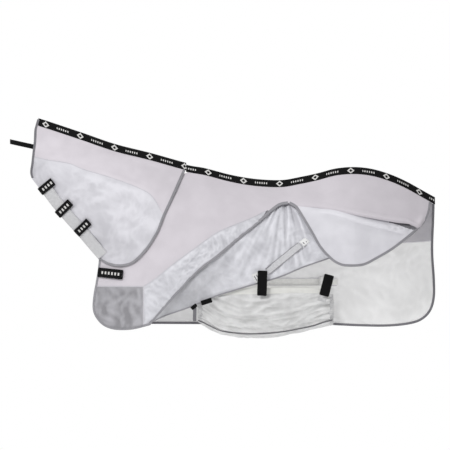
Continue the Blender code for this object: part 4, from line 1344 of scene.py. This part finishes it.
def belly_ends(name, first, last, cad, seed):
    """A gathered end of the flap, ruched along its elastic."""
    x, _, places, out = belly_grid(first, last, 0.05, 0.95, 14, 260)
    u, run = measured(places)
    across = (x - first) / (last - first)
    pleats = bumps(across * 0.4, run, 0.6, 0.011, seed) * 0.0034
    pleats += np.sin(run * 2 * math.pi / 0.0125 + 4 * bumps(x, run, 0.2, 0.05, seed)) * 0.0012
    places = places + out * (pleats - 0.001 - 0.002 * (2 * across - 1) ** 2)[..., None]
    made = shell(name, places, out, ELASTIC, 0.0016, (run, u))
    return placed(made, "belly_flap", "ruched_elastic", cad)


def piping_v(x):
    """How far round the flap its piping lies."""
    return 0.645 + 0.05 * steps(x, 0.60, 0.73)


def belly_piping():
    """The cord piping sewn along the flap's foot on its near side."""
    x = np.linspace(BELLY_FRONT_X + 0.002, BELLY_REAR_X - 0.006, 130)
    v = piping_v(x)
    places = belly_places(np.stack([x, x]), np.stack([v - 0.004, v + 0.004]))
    out = belly_normals(places)
    middle = places.mean(axis=0)
    out = out[0]
    round_ = places[1] - places[0]
    round_ /= np.linalg.norm(round_, axis=1)[:, None]
    rows = []
    for i in range(9):
        turn = 2 * math.pi * i / 8
        rows.append(middle + out * (0.0030 + 0.0030 * math.sin(turn))
                    + round_ * 0.0032 * math.cos(turn))
    tube = np.stack(rows)
    made = piece("belly_piping", tube, measured(tube), DARK_GROSGRAIN)
    mend(made, closed=True)
    made.data.shade_smooth()
    return placed(made, "belly_flap", "grey_binding")


def upright_tab(name, foot, head, width, finish, body, slot, cad, thick=0.0025):
    """A tab from its sewn foot to its free head, bowed slightly outwards."""
    foot = np.array(foot)
    head = np.array(head)
    long = float(np.linalg.norm(head - foot))
    ahead = (head - foot) / long
    across = np.cross(ahead, np.array([0.0, 1.0, 0.0]))
    across /= np.linalg.norm(across)
    out = np.cross(ahead, across)
    if out[1] > 0:
        out = -out

    def place(s, t):
        bow = 0.004 * np.sin(math.pi * s / long)
        spot = foot + s[:, None] * ahead + t[:, None] * across
        spot[:, 1] -= bow
        return spot, np.repeat(out[None], len(s), axis=0)

    corner = min(0.006, long * 0.2)
    made = flat_cut(name, long, width, corner, (max(3, int(long / 0.008)), 8), finish)
    seams = []
    if slot == "black_webbing":
        half = width / 2 - 0.0035
        inner = min(0.0035, long * 0.2)
        seams = [round_seam(inner, long - inner, half)]
        if long > 0.10:
            seams += list(box_seam(0.008, 0.034, half - 0.003))
    lay(made, place, thick, BLACK_THREAD, seams)
    return placed(made, body, slot, *([cad] if cad else []))


def belly_tabs():
    """The flap's tabs on both edges, the strap end at its front and the elastic keeper."""
    for name, (foot, head, width) in BELLY_TABS.items():
        upright_tab(name + "_webbing", foot, head, width, WEBBING, name, "black_webbing", name)
    for i, x in enumerate(BELLY_FAR_TABS):
        cad = "belly_far_tab_%d" % (i + 1)
        upright_tab(cad + "_webbing", (x, BELLY_FAR_Y + 0.004, BELLY_FAR_Z - 0.030),
                    (x, BELLY_FAR_Y + 0.026, BELLY_FAR_Z + 0.052), 0.060, PALE_WEBBING, "sheet",
                    "black_webbing", cad)
    upright_tab("front_strap_end", *FRONT_STRAP_END, 0.020, WEBBING, "belly_flap",
                "black_webbing", None, thick=0.002)
    upright_tab("front_strap_tail", *FRONT_STRAP_TAIL, 0.019, DARK_GROSGRAIN, "belly_flap",
                "grey_binding", None, thick=0.0016)
    upright_tab("rear_keeper_elastic", *KEEPER, 0.048, ELASTIC, "belly_flap", "ruched_elastic",
                "belly_rear_keeper", thick=0.002)


# Floor, light and camera

def area_light(name, place, aim, size, watts, height=None):
    """A soft lamp, round or as high as height, that isn't seen itself."""
    light = bpy.data.lights.new(name, "AREA")
    light.shape = "RECTANGLE" if height else "DISK"
    light.size = size
    if height:
        light.size_y = height
    light.energy = watts
    lamp = linked(name, light)
    lamp.location = place
    lamp.visible_camera = False
    lamp.rotation_euler = (Vector(aim) - Vector(place)).to_track_quat("-Z", "Y").to_euler()


def studio():
    """A pale floor under the horse's feet, a white room and large soft lights."""
    bpy.ops.object.select_all(action="DESELECT")
    bpy.ops.mesh.primitive_plane_add(size=1.0, location=(0.14, 0.0, -1.62))
    floor = bpy.context.active_object
    floor.name = "studio_floor"
    floor.scale = (3.6, 2.5, 1.0)
    made, _, shader = blank("matt_white_floor")
    tune(shader, {"Base Color": linear("F4F4F4"), "Roughness": 0.9,
                  "Emission Color": linear("FFFFFF"), "Emission Strength": 0.30})
    floor.data.materials.append(made)
    world = bpy.data.worlds.new("white_room")
    bpy.context.scene.world = world
    world.use_nodes = True
    tree = world.node_tree
    back = tree.nodes["Background"]
    path = node(tree, "LightPath")
    share = node(tree, "MapRange", None, {0: path.outputs["Is Camera Ray"], 3: ROOM_LIGHT, 4: 1.0})
    back.inputs["Color"].default_value = (1.0, 1.0, 1.0, 1.0)
    tree.links.new(share.outputs[0], back.inputs["Strength"])
    centre = (0.14, 0.0, -0.3)
    area_light("key_light", (-1.9, -4.4, 2.2), centre, 1.8, 165)
    area_light("back_light", (1.5, 4.6, 1.2), centre, 3.0, 110)
    area_light("inner_fill", (0.40, -0.04, -0.56), (0.40, 1.0, -0.56), 1.7, 1.9, 0.36)


def camera():
    """A long lens from far off, level, square to the near side."""
    data = bpy.data.cameras.new("side_camera")
    data.lens = LENS
    data.sensor_width = SENSOR
    data.clip_end = 400.0
    eye = linked("side_camera", data)
    back = VIEW_WIDTH * LENS / SENSOR
    eye.location = (VIEW_CENTRE[0], VIEW_CENTRE[1] - back, VIEW_CENTRE[2])
    eye.rotation_euler = (math.radians(90), 0.0, 0.0)
    bpy.context.scene.camera = eye


camera()
studio()
bpy.context.scene.view_settings.view_transform = "Standard"

near_upper()
far_upper()
chest_panels()
near_band()
far_mesh()
skirt()
wing()
far_loop()
body_edges()
body_seams()
spine_tape("body_spine_tape", *BODY_TAPE_X, 0.0, "sheet", "body_topline_tape", 0.076)
chest_fastening()
neck_panels()
spine_tape("neck_spine_tape", *NECK_TAPE_X, NECK_LIFT, "neck_cover", "neck_topline_tape", 0.158)
throat_facing()
throat_tabs()
poll_strap()
belly_flap()
belly_tabs()
